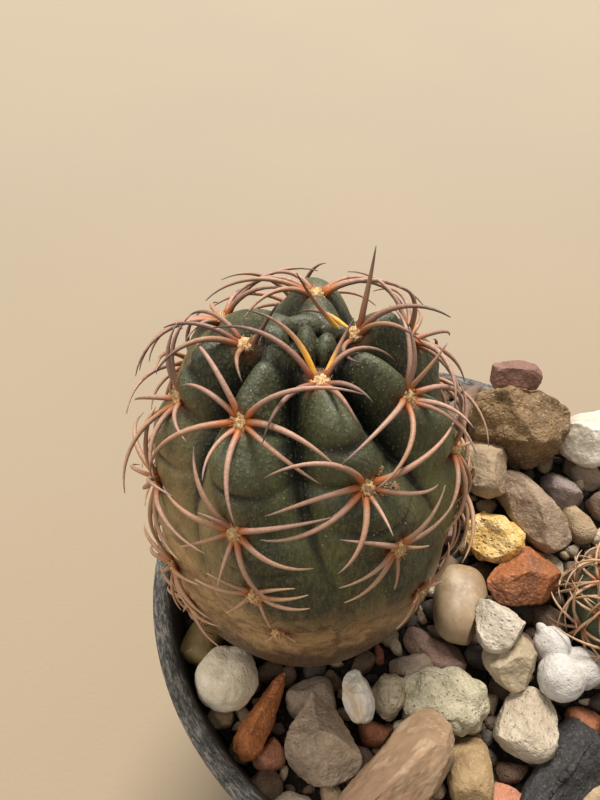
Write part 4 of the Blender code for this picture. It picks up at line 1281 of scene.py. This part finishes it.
def spin_rows(rows, turn):
    """Turns rows about the upright axis by an angle in degrees."""
    c, s = math.cos(math.radians(turn)), math.sin(math.radians(turn))
    return rows @ np.array([[c, s, 0.0], [-s, c, 0.0], [0.0, 0.0, 1.0]])


def make_rock(name, size, turn, boxy, taper, flats, cuts, lumps, centre, seed, detail=6):
    """One worked rock in its place."""
    rugged = WORN_SMOOTH.get(name, 1.0)
    rock = add_ball(detail)
    rows = rock_form(corners_of(rock), boxy, taper, flats, cuts, seed)
    move_corners(rock, spin_rows(rows * np.array(size) * 0.5 * MM, turn) + np.array(centre))
    roughen(rock, "CLOUDS", 3.2, 0.7 * rugged)
    if lumps:
        roughen(rock, "VORONOI", *lumps, middle=0.4)
    roughen(rock, "CLOUDS", 1.0, 0.30 * rugged, 3)
    roughen(rock, "CLOUDS", 0.4, 0.10 * rugged)
    return rock


def middle_of(node):
    """The middle of a frame node's box."""
    low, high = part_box(node)
    return (low + high) / 2.0


# The grain's three lobes and its nub: place from its middle and radius, in mm
PERLITE_LOBES = (
    (-0.9, 2.8, 0.7, 2.7), (-0.9, -2.0, 0.5, 3.3), (2.9, -0.3, -0.4, 3.0), (-2.5, 4.9, 2.1, 0.75),
)


def make_perlite(centre):
    """A puffed white grain of three lobes with a torn nub."""
    balls = []
    for x, y, z, radius in PERLITE_LOBES:
        place = Vector(centre) + Vector((x, y, z)) * MM
        bpy.ops.mesh.primitive_uv_sphere_add(segments=48, ring_count=32, radius=radius * MM, location=place)
        balls.append(bpy.context.object)
    grain = join_all(balls)
    bpy.ops.object.transform_apply(location=True, rotation=True, scale=True)
    apply_modifier(grain, "REMESH", mode="VOXEL", voxel_size=0.22 * MM)
    apply_modifier(grain, "SMOOTH", factor=0.6, iterations=8)
    roughen(grain, "CLOUDS", 2.4, 0.5)
    roughen(grain, "CLOUDS", 0.7, 0.12, 3)
    finish = rock_finish("perlite_finish", (0.54, 0.52, 0.49), (0.47, 0.44, 0.40), (0.38, 0.34, 0.30), patch=0.3,
                         grains=3.0, grain_share=0.12, pits=0.3, bump=0.25, clear=0.15)
    settle(grain, "perlite_grain_worked", finish, ("perlite_grain",))


def make_stones():
    """Every named stone, worked from a ball to its own form and finish."""
    for number, (name, row) in enumerate(ROCKS.items()):
        *form, base, second, grain, more = row
        centre = middle_of(name) + Vector(NUDGES.get(name, (0.0, 0.0, 0.0))) * MM
        rock = make_rock(name, *form, centre, number + 1)
        finish = rock_finish(name + "_finish", base, second, grain, seed=number + 1.0, **more)
        settle(rock, name + "_worked", finish, (name,))
    make_perlite(middle_of("perlite_grain"))


# Loose stones with no frame solid: place in mm, length, width and height, turn, tone
LOOSE = (
    ((-25.4, -27.9), (4.6, 4.2, 4.0), 20, "salmon"), ((-25.8, -32.2), (5.6, 5.0, 4.4), 40, "brown"),
    ((-19.0, -20.6), (7.6, 6.2, 5.4), 10, "grey"), ((-21.6, -34.6), (6.4, 4.6, 4.6), 5, "white"),
    ((0.9, -13.2), (10.6, 5.2, 4.2), -32, "mauve"), ((-3.2, -15.9), (7.2, 4.8, 4.4), 12, "grey"),
    ((10.8, 28.6), (13.0, 6.6, 12.0), 38, "mauve"), ((26.4, 12.8), (8.6, 4.8, 5.0), 118, "lilac"),
    ((31.2, 16.6), (8.4, 4.6, 5.0), 112, "grey"), ((5.0, 8.6), (8.0, 5.4, 5.0), 70, "mauve"),
    ((17.6, 14.6), (8.0, 5.0, 4.6), 30, "brown"), ((-29.0, -26.6), (4.6, 3.6, 3.6), 60, "brown"),
    ((-32.6, -22.8), (3.8, 3.0, 3.0), 10, "tan"), ((-12.2, -29.4), (5.4, 4.2, 4.0), 80, "brown"),
    ((7.6, -33.6), (5.4, 4.8, 4.6), 30, "salmon"), ((12.8, -35.0), (5.0, 4.2, 4.0), 0, "rust"),
    ((18.6, -34.8), (8.4, 5.6, 4.8), 20, "tan"), ((24.8, -29.8), (8.8, 6.4, 5.4), 35, "ochre"),
    ((28.6, -23.6), (7.6, 6.0, 5.4), 80, "tan"), ((21.8, -23.8), (5.4, 4.6, 4.4), 10, "rust"),
    ((25.6, -2.8), (6.6, 4.6, 4.6), 60, "brown"), ((1.2, -38.4), (7.6, 5.0, 4.6), 10, "brown"),
    ((-6.4, -38.4), (6.0, 4.6, 4.4), 30, "tan"), ((-14.6, -36.4), (5.6, 4.4, 4.0), 60, "grey"),
    ((34.6, -20.2), (6.6, 5.4, 5.0), 20, "cream"), ((38.6, -12.6), (5.2, 4.6, 4.4), 60, "tan"),
    ((38.0, 6.4), (7.6, 6.0, 5.4), 80, "cream"), ((33.4, 9.6), (6.0, 5.0, 4.6), 20, "brown"),
    ((27.6, 30.0), (8.0, 6.0, 5.4), -40, "tan"), ((3.4, 33.6), (8.4, 6.4, 5.6), 20, "grey"),
    ((3.0, 25.6), (7.6, 6.0, 5.4), 75, "tan"), ((-5.0, 30.4), (7.4, 6.2, 5.2), 0, "brown"),
    ((-12.4, 34.0), (7.8, 5.6, 5.2), 25, "cream"), ((-20.6, 30.8), (7.0, 6.0, 5.2), 60, "tan"),
    ((-28.4, 25.4), (7.2, 5.6, 5.0), 40, "grey"), ((14.6, -12.6), (4.8, 4.0, 4.0), 0, "mauve"),
)
# Base, second and grain colours of the loose stones and pebbles
TONES = {
    "salmon": ((0.46, 0.20, 0.115), (0.33, 0.13, 0.07), (0.56, 0.30, 0.20)),
    "brown": ((0.150, 0.095, 0.060), (0.080, 0.050, 0.033), (0.27, 0.19, 0.125)),
    "grey": ((0.29, 0.225, 0.165), (0.16, 0.12, 0.085), (0.42, 0.34, 0.26)),
    "white": ((0.68, 0.61, 0.49), (0.50, 0.42, 0.31), (0.40, 0.33, 0.23)),
    "mauve": ((0.235, 0.145, 0.110), (0.15, 0.09, 0.07), (0.34, 0.235, 0.18)),
    "lilac": ((0.26, 0.205, 0.185), (0.17, 0.13, 0.115), (0.36, 0.30, 0.27)),
    "tan": ((0.39, 0.285, 0.17), (0.25, 0.17, 0.095), (0.50, 0.39, 0.26)),
    "rust": ((0.30, 0.105, 0.045), (0.17, 0.058, 0.027), (0.44, 0.23, 0.12)),
    "ochre": ((0.46, 0.27, 0.08), (0.30, 0.155, 0.045), (0.60, 0.42, 0.20)),
    "cream": ((0.56, 0.475, 0.345), (0.42, 0.33, 0.22), (0.34, 0.27, 0.18)),
    "dark": ((0.060, 0.048, 0.038), (0.030, 0.024, 0.019), (0.14, 0.11, 0.085)),
}


def bed_level(x, y):
    """Height of the gravel bed at a place, in mm from the rim."""
    along = (x * math.cos(BED_BEARING) + y * math.sin(BED_BEARING)) / BED_REACH
    share = min(max(along + 0.2, 0.0), 1.0)
    return BED_LOW + BED_RISE * share * share * (3.0 - 2.0 * share)


def tone_finish(name, tone, seed, patch, grains):
    """The finish of a loose stone or pebble of a tone."""
    return rock_finish(name, *TONES[tone], patch=patch, grains=grains, grain_share=0.4, pits=0.3, bump=0.4, seed=seed)


def make_loose_stones():
    """Middling stones between the named ones, joined by tone."""
    heaps = {}
    for number, ((x, y), size, turn, tone) in enumerate(LOOSE):
        centre = Vector((x, y, bed_level(x, y) + size[2] * 0.30 + RIM_TOP)) * MM
        lumps = (2.6, -0.6) if tone == "white" else None
        rock = make_rock("loose", size, turn, 2.7, 0.15 * (-1) ** number, (), 5, lumps, centre, 60 + number, 4)
        heaps.setdefault(tone, []).append(rock)
    for number, (tone, rocks) in enumerate(heaps.items()):
        finish = tone_finish(tone + "_stone_finish", tone, 70.0 + number, 0.3, 2.4)
        settle(join_all(rocks), tone + "_stones", finish)


# Small pebbles: radius in mm and how many places are tried; then how often each tone comes
PEBBLE_SIZES = ((2.6, 260), (1.9, 700), (1.3, 1500), (0.8, 1800))
PEBBLE_TONES = {"tan": 4, "cream": 2, "grey": 2, "brown": 7, "rust": 1, "dark": 5}


def make_small_pebbles(solids):
    """Small pebbles and grit in the gaps."""
    shapes = []
    for seed in range(6):
        rows, faces = ball_shape(2)
        shapes.append((rock_form(rows, 3.0, 0.3, (), 8, seed), faces))
    pick = random.Random(5)
    tones, weights = tuple(PEBBLE_TONES), tuple(PEBBLE_TONES.values())
    heaps = {tone: Heap() for tone in tones}
    spots, sizes = [], []
    for size, tries in PEBBLE_SIZES:
        for _ in range(tries):
            radius = size * pick.uniform(0.8, 1.2)
            reach, bearing = 41.0 * math.sqrt(pick.random()), pick.uniform(0.0, FULL_TURN)
            x, y = reach * math.cos(bearing), reach * math.sin(bearing)
            z = bed_level(x, y) + radius * 0.4
            if math.hypot(x, y) > MOUTH_RADIUS + 0.157 * z - radius:
                continue
            centre = Vector((x, y, z + RIM_TOP)) * MM
            if any(solid.find_nearest(centre, 0.7 * radius * MM)[0] for solid in solids):
                continue
            spot = np.array((x, y, z))
            if spots and np.any(np.linalg.norm(np.array(spots) - spot, axis=1) < 0.8 * (np.array(sizes) + radius)):
                continue
            spots.append(spot)
            sizes.append(radius)
            heap = heaps[pick.choices(tones, weights)[0]]
            form, faces = shapes[pick.randrange(len(shapes))]
            stretch = np.array((pick.uniform(1.0, 1.5), pick.uniform(0.65, 1.0), pick.uniform(0.55, 0.9)))
            heap.drop(spin_rows(form * stretch * radius * MM, pick.uniform(0.0, 360.0)) + np.array(centre), faces)
    for number, (tone, heap) in enumerate(heaps.items()):
        finish = tone_finish(tone + "_grit_finish", tone, 40.0 + number, 0.4, 2.6)
        settle(heap.make_piece(tone + "_grit"), tone + "_grit", finish)


# ---------------------------------------------------------------- the small cactus

# The small plant's own ribs, areoles on each and spines in each areole
SMALL_RIBS, SMALL_LEVELS, SMALL_RING = 9, 3, 7


def make_small_cactus():
    """The small plant: its frame solid worked smooth, with areoles of fine curved spines."""
    plant = copy_node("small_cactus", "small_cactus_body")
    smooth_levels(plant, 3)
    roughen(plant, "CLOUDS", 2.0, 0.25)
    mark_points(plant, groove=0.0, bloom=0.25, stain=0.0, faded=0.3)
    settle(plant, "small_cactus_body", bpy.data.materials["cactus_skin"], ("small_cactus",))
    skin = surface_tree(plant)
    pick = random.Random(3)
    straw = spine_finish("straw_spine", (0.36, 0.13, 0.04), (0.50, 0.315, 0.185), (0.40, 0.27, 0.15))
    runs = []
    centre, foot = middle_of("small_cactus"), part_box("small_cactus")[0].z
    waist = Vector((centre.x, centre.y, foot + 8.0 * MM))
    plumb = Vector((0.0, 0.0, -1.0))
    for rib in range(SMALL_RIBS):
        for level in range(SMALL_LEVELS):
            bearing = FULL_TURN * rib / SMALL_RIBS
            rise = math.radians(72.0 - 27.0 * level - (10.0 if rib % 2 else 0.0))
            way = Vector((math.cos(bearing) * math.cos(rise), math.sin(bearing) * math.cos(rise), math.sin(rise)))
            spot, out, _, _ = skin.find_nearest(waist + way * 12.0 * MM)
            down = (plumb - out * out.dot(plumb)).normalized()
            side = out.cross(down)
            for spine in range(SMALL_RING):
                turn = FULL_TURN * (spine + pick.uniform(-0.35, 0.35)) / SMALL_RING
                heading = down * math.cos(turn) + side * math.sin(turn)
                length = pick.uniform(6.0, 10.5) * MM
                row = (turn, length, math.radians(pick.uniform(-40.0, 40.0)), math.radians(pick.uniform(25.0, 50.0)),
                       math.radians(pick.uniform(60.0, 110.0)))
                points = spine_points(spot + heading * 0.3 * MM, side, down, out, row, 9)
                runs.append((points, 0.27 * MM, 0.04 * MM, pick.random()))
    settle(grow_curve("small_cactus_spines", runs, 6), "small_cactus_spines", straw)


# ---------------------------------------------------------------- dry bits

# Patches of crumbs below the areole: how far aside and down the rib in mm, spread in mm and count
CRUMB_PATCHES = ((2.6, -0.8, 0.9, 110), (3.9, 0.8, 0.8, 80), (1.4, 0.2, 0.5, 40))


def make_crumbs(body):
    """Crumbs of dry dirt caught on the skin beside an areole."""
    pick = random.Random(9)
    spot, out, down, side = skin_frame(3, 19.5)
    skin = surface_tree(body)
    heap = Heap()
    form, faces = ball_shape(1)
    for aside, along, spread, count in CRUMB_PATCHES:
        middle = spot + (side * aside + down * along) * MM
        for _ in range(count):
            off = side * pick.gauss(0, 0.5) + down * pick.gauss(0, 0.5) + out * pick.uniform(0.0, 0.3)
            near, normal = skin.find_nearest(middle + off * spread * MM)[:2]
            size = np.array([pick.uniform(0.06, 0.20) for _ in range(3)]) * MM
            heap.drop(form * size + np.array(near + normal * 0.04 * MM), faces)
    finish = rock_finish("crumb_finish", (0.34, 0.215, 0.11), (0.16, 0.09, 0.045), (0.52, 0.40, 0.24), patch=0.8,
                         grains=3.0, grain_share=0.5, bump=0.2, seed=90.0)
    settle(heap.make_piece("crumbs"), "crumbs", finish)


# Where dried strands lie: rib, arc from the crown in mm, and count
STRAND_PATCHES = ((4, 39.0, 10), (4, 45.0, 6), (4, 32.0, 4), (1, 53.0, 6))


def make_dry_strands():
    """Dried strands of old spines and roots curled at the foot of the plant."""
    pick = random.Random(17)
    runs = []
    for rib, arc, count in STRAND_PATCHES:
        spot, out, down, side = skin_frame(rib, arc)
        for _ in range(count):
            root = spot + (side * pick.uniform(-3.5, 3.5) + down * pick.uniform(-2.5, 2.0) + out * 0.35) * MM
            row = (pick.uniform(-3.1, 3.1), pick.uniform(4.0, 8.0) * MM, pick.uniform(-2.6, 2.6),
                   pick.uniform(0.2, 0.6), pick.uniform(0.8, 1.7))
            runs.append((spine_points(root, side, down, out, row, 9), pick.uniform(0.14, 0.24) * MM, SPINE_TIP, 1.0))
    strands = grow_curve("dry_strands", runs, 6)
    finish = spine_finish("dry_strand", (0.24, 0.12, 0.06), (0.36, 0.225, 0.125), (0.20, 0.12, 0.07))
    settle(strands, "dry_strands", finish)


# ---------------------------------------------------------------- all together

set_camera()
set_light()
make_floor()
make_pot()
make_bed()
dress_soil()
body = make_body()
make_areoles(body)
make_stones()
make_loose_stones()
solids = [surface_tree(piece) for piece in bpy.data.objects if piece.name.endswith(("_worked", "_stones"))]
solids += [surface_tree(body), surface_tree(NODES["small_cactus"])]
make_small_pebbles(solids)
make_small_cactus()
make_crumbs(body)
make_dry_strands()
